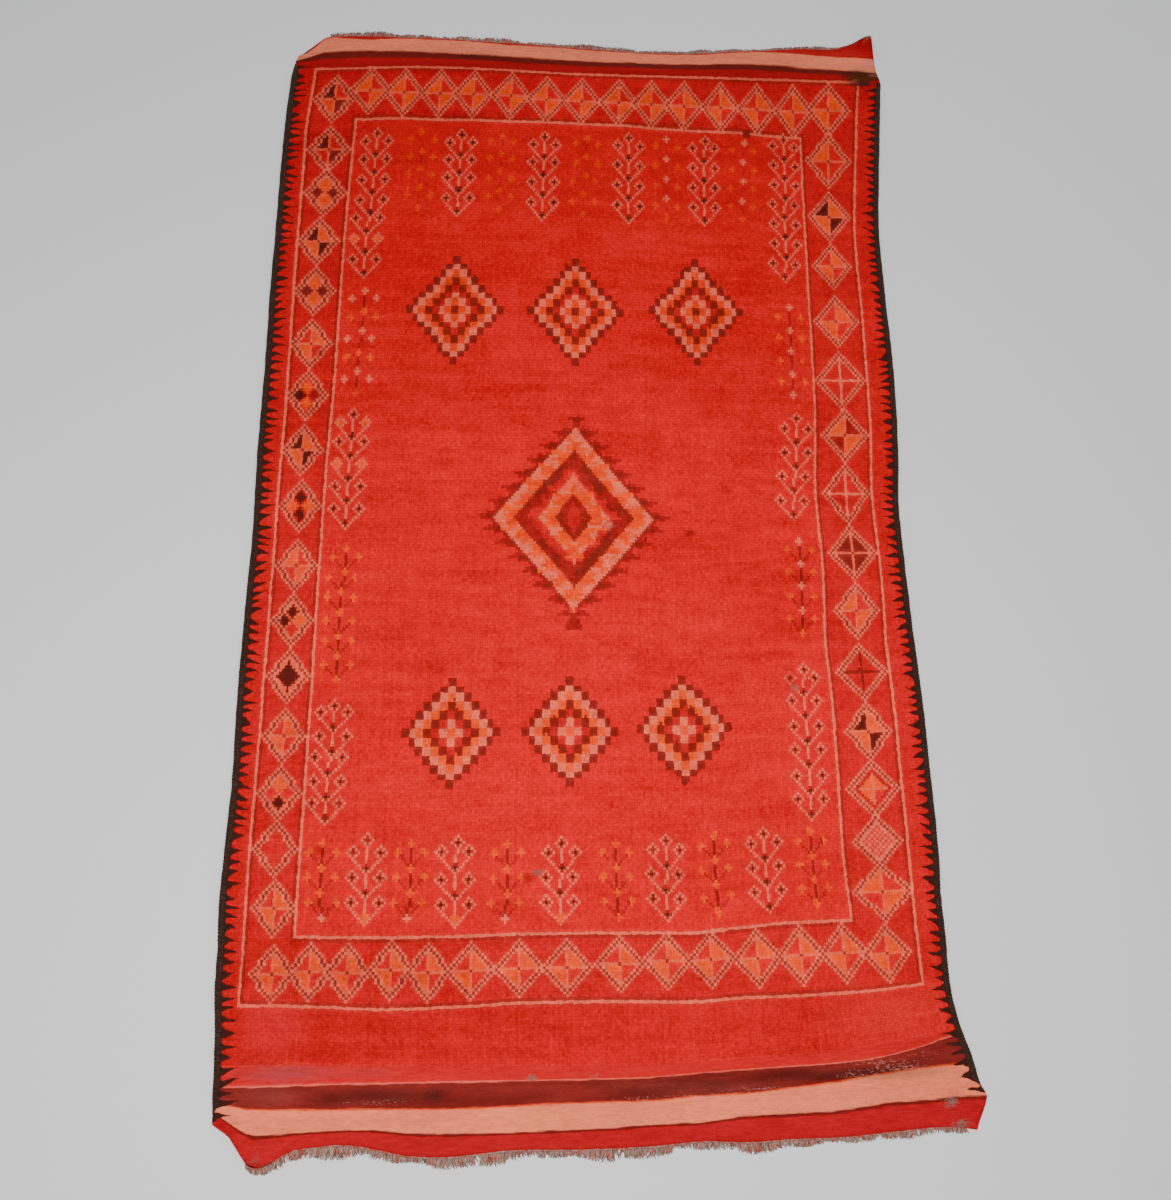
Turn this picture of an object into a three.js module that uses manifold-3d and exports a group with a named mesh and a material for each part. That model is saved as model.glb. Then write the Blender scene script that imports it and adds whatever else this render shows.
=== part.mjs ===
// Worn Moroccan pile rug lying flat: a knotted field, flatwoven ends, goat-hair side bindings, frayed warps.
// Millimetres, +Z up, +Y along the rug from its near end to its far end. The underside lies on z = 0.
import * as THREE from 'three';
import { mergeVertices } from 'three/addons/utils/BufferGeometryUtils.js';
import Module from 'manifold-3d';

const wasm = await Module();
wasm.setup();

// Thicknesses of the cloth and sizes of what is fitted to its edges
const PILE_THICKNESS = 8.5;
const FLATWEAVE_THICKNESS = 3.4;
const PILE_STEP_WIDTH = 9;
const BINDING_WIDTH = 16;
const BINDING_HEIGHT = 9.5;
const GAP = 0.3;

// Outer outline of the sides, bindings included: a row for each section along the length
const SIDES = [
  { y: -1420, left: -806, right: 786 },
  { y: -1388, left: -808, right: 797 },
  { y: -1345, left: -811, right: 814 },
  { y: -1318, left: -813, right: 826 },
  { y: -1288, left: -816, right: 815 },
  { y: -1240, left: -817, right: 805 },
  { y: -1160, left: -820, right: 781 },
  { y: -1075, left: -826, right: 769 },
  { y: -985, left: -826, right: 770 },
  { y: -890, left: -829, right: 768 },
  { y: -800, left: -826, right: 772 },
  { y: -630, left: -819, right: 771 },
  { y: -440, left: -820, right: 768 },
  { y: -240, left: -816, right: 760 },
  { y: -40, left: -810, right: 755 },
  { y: 65, left: -811, right: 755 },
  { y: 175, left: -811, right: 765 },
  { y: 395, left: -807, right: 774 },
  { y: 630, left: -806, right: 771 },
  { y: 750, left: -803, right: 770 },
  { y: 870, left: -801, right: 773 },
  { y: 990, left: -799, right: 784 },
  { y: 1120, left: -794, right: 797 },
  { y: 1210, left: -789, right: 806 },
  { y: 1270, left: -781, right: 812 },
  { y: 1310, left: -766, right: 815 },
  { y: 1345, left: -730, right: 806 },
  { y: 1400, left: -708, right: 797 },
  { y: 1450, left: -700, right: 792 },
];

// Last weft of each end and the last row of knots before it: a row for each place across the width
const ENDS = [
  { x: -800, near: -1338, nearPile: -1224, farPile: 1258, far: 1292 },
  { x: -768, near: -1372, nearPile: -1224, farPile: 1261, far: 1303 },
  { x: -738, near: -1415, nearPile: -1224, farPile: 1264, far: 1322 },
  { x: -705, near: -1421, nearPile: -1224, farPile: 1267, far: 1364 },
  { x: -655, near: -1393, nearPile: -1225, farPile: 1271, far: 1374 },
  { x: -600, near: -1385, nearPile: -1228, farPile: 1276, far: 1378 },
  { x: -545, near: -1382, nearPile: -1230, farPile: 1281, far: 1380 },
  { x: -490, near: -1390, nearPile: -1232, farPile: 1286, far: 1380 },
  { x: -420, near: -1405, nearPile: -1234, farPile: 1290, far: 1382 },
  { x: -330, near: -1410, nearPile: -1236, farPile: 1292, far: 1381 },
  { x: -200, near: -1400, nearPile: -1238, farPile: 1292, far: 1379 },
  { x: -60, near: -1402, nearPile: -1240, farPile: 1291, far: 1375 },
  { x: 100, near: -1399, nearPile: -1240, farPile: 1293, far: 1370 },
  { x: 200, near: -1392, nearPile: -1237, farPile: 1296, far: 1370 },
  { x: 300, near: -1396, nearPile: -1232, farPile: 1299, far: 1375 },
  { x: 400, near: -1392, nearPile: -1228, farPile: 1302, far: 1388 },
  { x: 500, near: -1391, nearPile: -1220, farPile: 1304, far: 1399 },
  { x: 600, near: -1384, nearPile: -1207, farPile: 1307, far: 1411 },
  { x: 690, near: -1377, nearPile: -1192, farPile: 1309, far: 1415 },
  { x: 745, near: -1376, nearPile: -1182, farPile: 1312, far: 1430 },
  { x: 780, near: -1380, nearPile: -1176, farPile: 1314, far: 1446 },
  { x: 800, near: -1384, nearPile: -1174, farPile: 1315, far: 1444 },
];

// How far the side bindings run
const BINDINGS = {
  left: { from: -1322, to: 1282 },
  right: { from: -1300, to: 1318 },
};

// Places where the cloth stands off the floor: turned-up corners and low puckers in the looser ends
const LIFTS = [
  { x: 800, y: 1462, reach: 120, height: 26 },
  { x: 845, y: -1320, reach: 60, height: 5 },
  { x: -778, y: -1388, reach: 92, height: 5 },
  { x: -560, y: -1330, reach: 62, height: 4 },
  { x: 330, y: -1300, reach: 70, height: 3 },
  { x: 590, y: -1262, reach: 80, height: 5 },
  { x: -600, y: 1332, reach: 45, height: 3 },
  { x: 110, y: 1340, reach: 40, height: 3 },
  { x: 545, y: 1352, reach: 50, height: 3 },
];

// Low swells of the knotted surface, worn unevenly: wave counts over a metre and heights
const SWELLS = [
  { acrossPerMetre: 1.3, alongPerMetre: 0.6, phase: 0.4, height: 0.5 },
  { acrossPerMetre: 0.4, alongPerMetre: 2.1, phase: 1.9, height: 0.45 },
  { acrossPerMetre: 2.7, alongPerMetre: 1.7, phase: 4.1, height: 0.3 },
];

// Mesh density: steps across the cloth, and steps of each stretch along it
const STEPS_ACROSS = 28;
const STEPS_NEAR_END = 4;
const STEPS_PILE = 38;
const STEPS_FAR_END = 3;

// Where an upright line of the cloth would stand if its sides were straight
const STRAIGHT_SIDES = { left: -790, right: 780 };

// Frayed warp ends: where they start and stop, how many there are and how their lengths vary
const FRINGES = {
  near: { from: -690, to: 775, strands: 128, shortest: 9, longest: 27, seed: 11 },
  far: { from: -672, to: 700, strands: 118, shortest: 6, longest: 19, seed: 47 },
};
const STRIP = { width: 5, innerHeight: 3, outerHeight: 2.4 };
const STRAND = { widest: 7.5, narrowest: 3.5, height: 2.4, lean: 5, rootDepth: 3, wander: 0.2 };

// Longer and shorter tufts follow each other along an end: waves over a metre and their weight
const TUFTS = [
  { perMetre: 3.3, phase: 0.9, weight: 0.34 },
  { perMetre: 9.1, phase: 2.2, weight: 0.22 },
];

const MATERIALS = {
  cloth: { color: 0xc83a2a, roughness: 0.95, metalness: 0 },
  binding: { color: 0x2e1a14, roughness: 0.9, metalness: 0 },
  warps: { color: 0x9a8070, roughness: 0.95, metalness: 0 },
};

const lerp = THREE.MathUtils.lerp;

// A linear congruential sequence of numbers from 0 to 1, the same for the same seed
function seededRandom(seed) {
  const [multiplier, increment, modulus] = [1664525, 1013904223, 2 ** 32];
  let state = seed;
  return () => {
    state = (state * multiplier + increment) % modulus;
    return state / modulus;
  };
}

// Reads a column of a table at a place between its rows, on a smooth curve through them
function readTable(table, key, column, at) {
  const last = table.length - 1;
  let row = 0;
  while (row < last - 1 && at > table[row + 1][key]) row += 1;
  const slopeAt = (i) => {
    const low = table[Math.max(i - 1, 0)];
    const high = table[Math.min(i + 1, last)];
    return (high[column] - low[column]) / (high[key] - low[key]);
  };
  const start = table[row];
  const end = table[row + 1];
  const length = end[key] - start[key];
  const t = THREE.MathUtils.clamp((at - start[key]) / length, 0, 1);
  const bend = t * t * (3 - 2 * t);
  const leave = t * (1 - t) * (1 - t) * length * slopeAt(row);
  const arrive = t * t * (t - 1) * length * slopeAt(row + 1);
  return lerp(start[column], end[column], bend) + leave + arrive;
}

const bound = (side, y) => y >= BINDINGS[side].from && y <= BINDINGS[side].to;
const inset = (side, y) => (bound(side, y) ? BINDING_WIDTH + GAP : 0);
const leftEdge = (y) => readTable(SIDES, 'y', 'left', y) + inset('left', y);
const rightEdge = (y) => readTable(SIDES, 'y', 'right', y) - inset('right', y);

// Height of the cloth's underside over the floor
function liftAt(x, y) {
  let lift = 0;
  for (const place of LIFTS) {
    const away = Math.hypot(x - place.x, y - place.y) / place.reach;
    if (away < 1) lift += place.height * (1 - away * away) ** 2;
  }
  return lift;
}

function swellAt(x, y) {
  let swell = 0;
  for (const wave of SWELLS) {
    const turns = (wave.acrossPerMetre * x + wave.alongPerMetre * y) / 1000;
    swell += wave.height * Math.sin(2 * Math.PI * turns + wave.phase);
  }
  return swell;
}

// Sections along the length, each between two curves of the ENDS table, with its thickness
function clothRows() {
  const rows = [];
  const stretch = (steps, first, from, to, thickness) => {
    for (let step = first; step <= steps; step += 1) {
      rows.push({ from, to, share: step / steps, thickness });
    }
  };
  const offset = (column, distance) => (x) => readTable(ENDS, 'x', column, x) + distance;
  const nearFlat = offset('nearPile', -PILE_STEP_WIDTH);
  const farFlat = offset('farPile', PILE_STEP_WIDTH);
  stretch(STEPS_NEAR_END, 0, offset('near', 0), nearFlat, FLATWEAVE_THICKNESS);
  stretch(STEPS_PILE, 0, offset('nearPile', 0), offset('farPile', 0), PILE_THICKNESS);
  stretch(STEPS_FAR_END, 0, farFlat, offset('far', 0), FLATWEAVE_THICKNESS);
  return rows;
}

// Place of a row and column of the cloth in plan: the column runs between the side edges at the row's height
function clothPoint(row, across) {
  const straightX = lerp(STRAIGHT_SIDES.left, STRAIGHT_SIDES.right, across);
  const nearlyY = lerp(row.from(straightX), row.to(straightX), row.share);
  const x = lerp(leftEdge(nearlyY), rightEdge(nearlyY), across);
  const y = lerp(row.from(x), row.to(x), row.share);
  return { x, y };
}

// Columns stand closer together towards the sides, where the corners turn
function columnShare(column) {
  const even = column / STEPS_ACROSS;
  return lerp(even, 0.5 - 0.5 * Math.cos(Math.PI * even), 0.45);
}

function meshGeometry(positions, triangles) {
  const geometry = new THREE.BufferGeometry();
  geometry.setAttribute('position', new THREE.Float32BufferAttribute(positions, 3));
  geometry.setIndex(triangles);
  geometry.computeVertexNormals();
  return geometry;
}

const rows = clothRows();
const plan = rows.map((row) => {
  const places = [];
  for (let column = 0; column <= STEPS_ACROSS; column += 1) {
    places.push(clothPoint(row, columnShare(column)));
  }
  return places;
});

// The cloth: an upper and a lower grid over the same plan, joined by a wall round the rim
function clothGeometry() {
  const perRow = STEPS_ACROSS + 1;
  const perGrid = perRow * rows.length;
  const positions = [];
  const place = (height) => {
    plan.forEach((places, r) => {
      places.forEach(({ x, y }) => positions.push(x, y, height(rows[r], x, y)));
    });
  };
  place((row, x, y) => {
    const worn = row.thickness === PILE_THICKNESS ? swellAt(x, y) : 0;
    return liftAt(x, y) + row.thickness + worn;
  });
  place((row, x, y) => liftAt(x, y));

  const triangles = [];
  const quad = (a, b, c, d) => triangles.push(a, b, c, a, c, d);
  for (let r = 0; r < rows.length - 1; r += 1) {
    for (let c = 0; c < STEPS_ACROSS; c += 1) {
      const corner = r * perRow + c;
      const [a, b, d, e] = [corner, corner + 1, corner + perRow + 1, corner + perRow];
      quad(a, b, d, e);
      quad(a + perGrid, e + perGrid, d + perGrid, b + perGrid);
    }
  }
  const rim = [];
  const lastRow = (rows.length - 1) * perRow;
  for (let c = 0; c < STEPS_ACROSS; c += 1) rim.push(c);
  for (let r = 0; r < rows.length - 1; r += 1) rim.push(r * perRow + STEPS_ACROSS);
  for (let c = STEPS_ACROSS; c > 0; c -= 1) rim.push(lastRow + c);
  for (let r = rows.length - 1; r > 0; r -= 1) rim.push(r * perRow);
  rim.forEach((vertex, i) => {
    const next = rim[(i + 1) % rim.length];
    quad(vertex + perGrid, next + perGrid, next, vertex);
  });
  return meshGeometry(positions, triangles);
}

// A side binding: the cloth's edge wrapped over in goat hair, a round-topped bar on the floor
function bindingGeometry(side) {
  const outward = side === 'left' ? -1 : 1;
  const column = side === 'left' ? 0 : STEPS_ACROSS;
  const section = [
    { out: 0, up: 0 },
    { out: 0.93, up: 0 },
    { out: 1, up: 0.42 },
    { out: 0.74, up: 0.9 },
    { out: 0.38, up: 1 },
    { out: 0, up: 0.8 },
  ];
  const edge = plan.map((places) => places[column]).filter(({ y }) => bound(side, y));
  const positions = [];
  edge.forEach(({ x, y }) => {
    section.forEach(({ out, up }) => {
      positions.push(x + outward * (GAP + out * BINDING_WIDTH), y, up * BINDING_HEIGHT);
    });
  });
  const sides = section.length;
  const triangles = [];
  const triangle = (a, b, c) => triangles.push(...(side === 'left' ? [a, c, b] : [a, b, c]));
  for (let station = 0; station < edge.length - 1; station += 1) {
    for (let i = 0; i < sides; i += 1) {
      const a = station * sides + i;
      const b = station * sides + ((i + 1) % sides);
      triangle(a, a + sides, b);
      triangle(b, a + sides, b + sides);
    }
  }
  const last = (edge.length - 1) * sides;
  for (let i = 1; i < sides - 1; i += 1) {
    triangle(0, i, i + 1);
    triangle(last, last + i + 1, last + i);
  }
  return meshGeometry(positions, triangles);
}

function toManifold(geometry) {
  const bare = geometry.clone();
  bare.deleteAttribute('normal');
  const merged = mergeVertices(bare, 1e-4);
  const mesh = new wasm.Mesh({
    numProp: 3,
    vertProperties: new Float32Array(merged.attributes.position.array),
    triVerts: new Uint32Array(merged.index.array),
  });
  return new wasm.Manifold(mesh);
}

function fromManifold(solid) {
  const mesh = solid.getMesh();
  return meshGeometry(Array.from(mesh.vertProperties), Array.from(mesh.triVerts));
}

// Place on the edge of an end at x, on the same straight steps as the cloth's own rim
function endPlace(rim, x) {
  let step = 0;
  while (step < rim.length - 2 && x > rim[step + 1].x) step += 1;
  const share = (x - rim[step].x) / (rim[step + 1].x - rim[step].x);
  return { x, y: lerp(rim[step].y, rim[step + 1].y, share) };
}

// The strip of last wefts that the warps hang from, along the cloth's end from one place to the other
function stripGeometry(rim, fringe, outward) {
  const between = rim.filter(({ x }) => x > fringe.from && x < fringe.to);
  const places = [endPlace(rim, fringe.from), ...between, endPlace(rim, fringe.to)];
  const positions = [];
  places.forEach(({ x, y }) => {
    const inner = y + outward * GAP;
    const outer = inner + outward * STRIP.width;
    positions.push(x, inner, 0, x, outer, 0, x, outer, STRIP.outerHeight, x, inner, STRIP.innerHeight);
  });
  const triangles = [];
  const triangle = (a, b, c) => triangles.push(...(outward > 0 ? [a, b, c] : [a, c, b]));
  for (let station = 0; station < places.length - 1; station += 1) {
    for (let i = 0; i < 4; i += 1) {
      const a = station * 4 + i;
      const b = station * 4 + ((i + 1) % 4);
      triangle(a, b, a + 4);
      triangle(b, b + 4, a + 4);
    }
  }
  const last = (places.length - 1) * 4;
  triangle(0, 2, 1);
  triangle(0, 3, 2);
  triangle(last, last + 1, last + 2);
  triangle(last, last + 2, last + 3);
  return meshGeometry(positions, triangles);
}

// One frayed lock of warps: three-sided, level on the floor, bent once and drawn to a point
function strandGeometry(root, outward, length, width, lean) {
  const stations = [
    { along: -STRAND.rootDepth, wide: 1, lean: 0, high: 0.9 },
    { along: length * 0.55, wide: 0.8, lean: 0.35, high: 0.7 },
  ];
  const positions = [];
  stations.forEach((station) => {
    const x = root.x + lean * station.lean;
    const y = root.y + outward * station.along;
    const half = (width * station.wide) / 2;
    positions.push(x - half, y, 0, x + half, y, 0, x, y, STRAND.height * station.high);
  });
  positions.push(root.x + lean, root.y + outward * length, 0);
  const triangles = [];
  const triangle = (a, b, c) => triangles.push(...(outward > 0 ? [a, b, c] : [a, c, b]));
  triangle(0, 1, 2);
  for (let i = 0; i < 3; i += 1) {
    const next = (i + 1) % 3;
    triangle(i, i + 3, next);
    triangle(next, i + 3, next + 3);
    triangle(i + 3, 6, next + 3);
  }
  return meshGeometry(positions, triangles);
}

function tuftAt(x) {
  let tuft = 0.5;
  for (const wave of TUFTS) {
    tuft += wave.weight * Math.sin((2 * Math.PI * wave.perMetre * x) / 1000 + wave.phase);
  }
  return tuft;
}

// The frayed warps of one end, fused to their strip
function fringeGeometry(fringe, rim, outward) {
  const solids = [toManifold(stripGeometry(rim, fringe, outward))];
  const random = seededRandom(fringe.seed);
  const pitch = (fringe.to - fringe.from) / fringe.strands;
  for (let i = 0; i < fringe.strands; i += 1) {
    const wander = (random() - 0.5) * pitch * STRAND.wander;
    const root = endPlace(rim, fringe.from + pitch * (i + 0.5) + wander);
    root.y += outward * (GAP + STRIP.width);
    const fullness = THREE.MathUtils.clamp((tuftAt(root.x) + random()) / 2, 0, 1);
    const length = lerp(fringe.shortest, fringe.longest, fullness);
    const width = lerp(STRAND.narrowest, STRAND.widest, random());
    const lean = (random() - 0.5) * STRAND.lean;
    solids.push(toManifold(strandGeometry(root, outward, length, width, lean)));
  }
  return fromManifold(wasm.Manifold.union(solids));
}

function addPiece(group, name, geometry, finish) {
  const mesh = new THREE.Mesh(geometry, new THREE.MeshStandardMaterial(finish));
  mesh.name = name;
  group.add(mesh);
}

const rug = new THREE.Group();
const nearRim = plan[0];
const farRim = plan[plan.length - 1];
addPiece(rug, 'rug_cloth', clothGeometry(), MATERIALS.cloth);
addPiece(rug, 'binding_left', bindingGeometry('left'), MATERIALS.binding);
addPiece(rug, 'binding_right', bindingGeometry('right'), MATERIALS.binding);
addPiece(rug, 'fringe_near', fringeGeometry(FRINGES.near, nearRim, -1), MATERIALS.warps);
addPiece(rug, 'fringe_far', fringeGeometry(FRINGES.far, farRim, 1), MATERIALS.warps);

// The origin stands on the floor under the middle of the whole outline
const outline = new THREE.Box3().setFromObject(rug);
const middle = outline.getCenter(new THREE.Vector3());
rug.position.set(-middle.x, -middle.y, -outline.min.z);

export default rug;
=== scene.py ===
"""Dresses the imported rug: a field dyed knot by knot, flatwoven ends, goat-hair sides and frayed warps.

Places are in millimetres of the rug's plan, X across it and Y from its near end to its far end, as in the
part's source, and turn into metres of the frame only when a mesh is written.
"""
import logging
import math
from dataclasses import dataclass, field
from enum import Enum
from typing import Any, NamedTuple

import bpy
import numpy as np
from mathutils import Matrix, Vector


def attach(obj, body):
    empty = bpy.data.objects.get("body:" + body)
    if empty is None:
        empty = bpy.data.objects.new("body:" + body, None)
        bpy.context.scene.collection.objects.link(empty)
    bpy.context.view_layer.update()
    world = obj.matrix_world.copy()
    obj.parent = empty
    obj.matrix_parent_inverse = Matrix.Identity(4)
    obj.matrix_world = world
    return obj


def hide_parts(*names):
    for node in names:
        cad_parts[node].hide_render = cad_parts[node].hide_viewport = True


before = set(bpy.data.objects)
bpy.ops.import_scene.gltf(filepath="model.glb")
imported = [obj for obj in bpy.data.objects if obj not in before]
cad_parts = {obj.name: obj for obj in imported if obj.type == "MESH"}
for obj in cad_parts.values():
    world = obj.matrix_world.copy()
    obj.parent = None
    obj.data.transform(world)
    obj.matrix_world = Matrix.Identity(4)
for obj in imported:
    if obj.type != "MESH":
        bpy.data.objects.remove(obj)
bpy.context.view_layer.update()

MM = 0.001
# Where the plan's origin lies in the frame, whose origin is the middle of the rug's outline
PLAN_IN_FRAME = np.array([3.740, -3.358, 0.0])
BODY = "root"

log = logging.getLogger("rug")

Array = np.ndarray
Draws = np.random.Generator
Piece = bpy.types.Object
Socket = bpy.types.NodeSocket
Node = bpy.types.Node
NodeTree = bpy.types.NodeTree
Colour = tuple[float, float, float]


def table_of(kind: Any, *rows: tuple[Any, ...]) -> tuple[Any, ...]:
    """A short table: each row turned into the named tuple that names its columns."""
    return tuple(kind(*row) for row in rows)


class Side(Enum):
    """The two long sides of the rug."""

    LEFT = "left"
    RIGHT = "right"


class End(Enum):
    """The two flatwoven ends of the rug."""

    NEAR = "near"
    FAR = "far"


class Span(NamedTuple):
    """Where something starts and stops, in millimetres of the plan."""

    start: float
    stop: float


class SideRow(NamedTuple):
    """Outer outline of the two long sides, bindings included, at one place along the rug."""

    y: float
    left: float
    right: float


class BorderRow(NamedTuple):
    """Where the four upright border lines stand at one place along the rug."""

    y: float
    outer_left: float
    inner_left: float
    inner_right: float
    outer_right: float


class EndRow(NamedTuple):
    """Last wefts of both ends, and the last rows of knots, at one place across the rug."""

    x: float
    near: float
    near_pile: float
    far_pile: float
    far: float


class LineRow(NamedTuple):
    """Where the woven lines that run across the rug stand at one place across it."""

    x: float
    dark: float
    orange: float
    pale: float
    outer_near: float
    inner_near: float
    inner_far: float
    far_dark: float
    far_pink: float


SIDES = table_of(
    SideRow,
    (-1420, -806, 786), (-1388, -808, 797), (-1345, -811, 814), (-1318, -813, 826), (-1288, -816, 815),
    (-1240, -817, 805), (-1160, -820, 781), (-1075, -826, 769), (-985, -826, 770), (-890, -829, 768),
    (-800, -826, 772), (-630, -819, 771), (-440, -820, 768), (-240, -816, 760), (-40, -810, 755),
    (65, -811, 755), (175, -811, 765), (395, -807, 774), (630, -806, 771), (750, -803, 770),
    (870, -801, 773), (990, -799, 784), (1120, -794, 797), (1210, -789, 806), (1270, -781, 812),
    (1310, -766, 815), (1345, -730, 806), (1400, -708, 797), (1450, -700, 792),
)

BORDERS = table_of(
    BorderRow,
    (-1420, -772, -668, 575, 722), (-1230, -773, -668, 566, 716), (-1100, -773, -667, 560, 706),
    (-950, -771, -664, 555, 701), (-800, -770, -662, 547, 700), (-600, -766, -658, 548, 697),
    (-500, -763, -656, 548, 697), (-400, -762, -654, 546, 694), (-300, -759, -653, 542, 690),
    (-200, -759, -652, 546, 692), (-100, -756, -650, 549, 692), (0, -756, -648, 546, 688),
    (100, -754, -646, 545, 687), (200, -751, -642, 552, 694), (300, -749, -638, 558, 699),
    (400, -748, -635, 561, 700), (600, -747, -631, 564, 702), (750, -745, -628, 566, 700),
    (850, -743, -624, 568, 703), (950, -741, -620, 570, 712), (1050, -740, -615, 573, 722),
    (1112, -737, -612, 574, 729), (1200, -728, -608, 578, 737), (1290, -720, -604, 582, 748),
    (1400, -700, -600, 586, 752),
)

ENDS = table_of(
    EndRow,
    (-800, -1338, -1224, 1258, 1292), (-768, -1372, -1224, 1261, 1303),
    (-738, -1415, -1224, 1264, 1322), (-705, -1421, -1224, 1267, 1364),
    (-655, -1393, -1225, 1271, 1374), (-600, -1385, -1228, 1276, 1378),
    (-545, -1382, -1230, 1281, 1380), (-490, -1390, -1232, 1286, 1380),
    (-420, -1405, -1234, 1290, 1382), (-330, -1410, -1236, 1292, 1381),
    (-200, -1400, -1238, 1292, 1379), (-60, -1402, -1240, 1291, 1375), (100, -1399, -1240, 1293, 1370),
    (200, -1392, -1237, 1296, 1370), (300, -1396, -1232, 1299, 1375), (400, -1392, -1228, 1302, 1388),
    (500, -1391, -1220, 1304, 1399), (600, -1384, -1207, 1307, 1411), (690, -1377, -1192, 1309, 1415),
    (745, -1376, -1182, 1312, 1430), (780, -1380, -1176, 1314, 1446), (800, -1384, -1174, 1315, 1444),
)

LINES = table_of(
    LineRow,
    (-800, -1322, -1298, -1266, -1106, -966, 1096, 1276, 1291),
    (-740, -1358, -1310, -1267, -1107, -966, 1100, 1299, 1321),
    (-700, -1362, -1312, -1267, -1108, -967, 1103, 1313, 1365),
    (-600, -1357, -1314, -1265, -1112, -969, 1109, 1323, 1368),
    (-500, -1356, -1315, -1265, -1118, -971, 1117, 1330, 1378),
    (-400, -1365, -1317, -1265, -1118, -971, 1118, 1330, 1380),
    (-300, -1368, -1318, -1265, -1115, -970, 1123, 1330, 1379),
    (-200, -1368, -1315, -1265, -1110, -967, 1124, 1330, 1375),
    (-100, -1366, -1312, -1265, -1109, -966, 1127, 1328, 1375),
    (0, -1364, -1311, -1265, -1109, -966, 1127, 1327, 1371),
    (100, -1359, -1310, -1264, -1111, -967, 1128, 1329, 1369),
    (200, -1357, -1303, -1257, -1112, -968, 1122, 1332, 1369),
    (300, -1346, -1300, -1252, -1106, -958, 1120, 1336, 1374),
    (400, -1344, -1290, -1247, -1104, -949, 1121, 1344, 1387),
    (500, -1340, -1280, -1243, -1100, -945, 1115, 1345, 1396),
    (600, -1328, -1265, -1232, -1094, -942, 1112, 1340, 1394),
    (700, -1323, -1255, -1210, -1083, -938, 1113, 1340, 1391),
    (750, -1318, -1251, -1193, -1080, -936, 1114, 1340, 1388),
    (800, -1316, -1248, -1184, -1077, -934, 1115, 1338, 1382),
)


def read_curve(table: tuple[Any, ...], line: str, at: Array) -> Array:
    """Reads a column of a short table on a cubic Hermite curve, its slope at a row that of its neighbours.

    Args:
        table: the rows, their first column the places in rising order.
        line: name of the column to read.
        at: places to read it at.

    Returns:
        The column's values there, held still beyond the table's two ends.
    """
    places = np.array([row[0] for row in table], float)
    values = np.array([getattr(row, line) for row in table], float)
    last = len(table) - 1
    before = np.maximum(np.arange(last + 1) - 1, 0)
    after = np.minimum(np.arange(last + 1) + 1, last)
    slopes = (values[after] - values[before]) / (places[after] - places[before])
    start = np.clip(np.searchsorted(places, at) - 1, 0, last - 1)
    length = places[start + 1] - places[start]
    t = np.clip((at - places[start]) / length, 0, 1)
    bend = t * t * (3 - 2 * t)
    leave = t * (1 - t) ** 2 * length * slopes[start]
    arrive = t * t * (t - 1) * length * slopes[start + 1]
    return values[start] * (1 - bend) + values[start + 1] * bend + leave + arrive


def smoothstep(low: float, high: float, value: Array) -> Array:
    """Rises from 0 at low to 1 at high, level at both."""
    t = np.clip((value - low) / (high - low), 0, 1)
    return t * t * (3 - 2 * t)


def patches(shape: tuple[int, int], cell: tuple[float, float], rng: Draws) -> Array:
    """Soft random patches: values on a coarse grid, blended smoothly between its points.

    Args:
        shape: rows and columns of the result.
        cell: size of a patch in rows and columns.
        rng: source of the values.

    Returns:
        An array of that shape, with values from -1 to 1.
    """
    coarse = rng.uniform(-1, 1, (int(shape[0] / cell[0]) + 3, int(shape[1] / cell[1]) + 3))
    v = np.arange(shape[0]) / cell[0]
    u = np.arange(shape[1]) / cell[1]
    i, j = v.astype(int), u.astype(int)
    fv = smoothstep(0, 1, v - i)[:, None]
    fu = smoothstep(0, 1, u - j)[None, :]
    low = coarse[np.ix_(i, j)] * (1 - fu) + coarse[np.ix_(i, j + 1)] * fu
    high = coarse[np.ix_(i + 1, j)] * (1 - fu) + coarse[np.ix_(i + 1, j + 1)] * fu
    return low * (1 - fv) + high * fv


class Lift(NamedTuple):
    """A place where the cloth stands off the floor."""

    x: float
    y: float
    reach: float
    height: float


class Swell(NamedTuple):
    """One wave of the unevenly worn pile."""

    across_per_metre: float
    along_per_metre: float
    phase: float
    height: float


@dataclass(frozen=True)
class Relief:
    """Heights of the cloth over the floor."""

    pile: float = 8.5
    flatweave: float = 3.4
    lifts: tuple[Lift, ...] = table_of(
        Lift,
        (800, 1462, 120, 26), (845, -1320, 60, 5), (-778, -1388, 92, 5), (-560, -1330, 62, 4),
        (330, -1300, 70, 3), (590, -1262, 80, 5), (-600, 1332, 45, 3), (110, 1340, 40, 3),
        (545, 1352, 50, 3),
    )
    swells: tuple[Swell, ...] = table_of(
        Swell,
        (1.3, 0.6, 0.4, 0.5), (0.4, 2.1, 1.9, 0.45), (2.7, 1.7, 4.1, 0.3),
    )

    def lift(self, x: Array, y: Array) -> Array:
        """Height of the underside: a lift is its height times (1 - (distance / reach) squared) squared."""
        total = np.zeros(np.broadcast(x, y).shape)
        for place in self.lifts:
            away = np.hypot(x - place.x, y - place.y) / place.reach
            total += place.height * np.clip(1 - away**2, 0, None) ** 2
        return total

    def swell(self, x: Array, y: Array) -> Array:
        """Unevenness of the pile: a sum of sine waves that run across and along."""
        total = np.zeros(np.broadcast(x, y).shape)
        for wave in self.swells:
            turns = (wave.across_per_metre * x + wave.along_per_metre * y) * MM
            total += wave.height * np.sin(2 * np.pi * turns + wave.phase)
        return total


class Guide(NamedTuple):
    """A woven line or edge that knots follow: the row or column that stands on it, and its curve."""

    stand: float
    table: tuple[Any, ...]
    line: str
    offset: float = 0.0

    def at(self, place: Array) -> Array:
        """Where it lies at places along its length."""
        return read_curve(self.table, self.line, place) + self.offset


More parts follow.
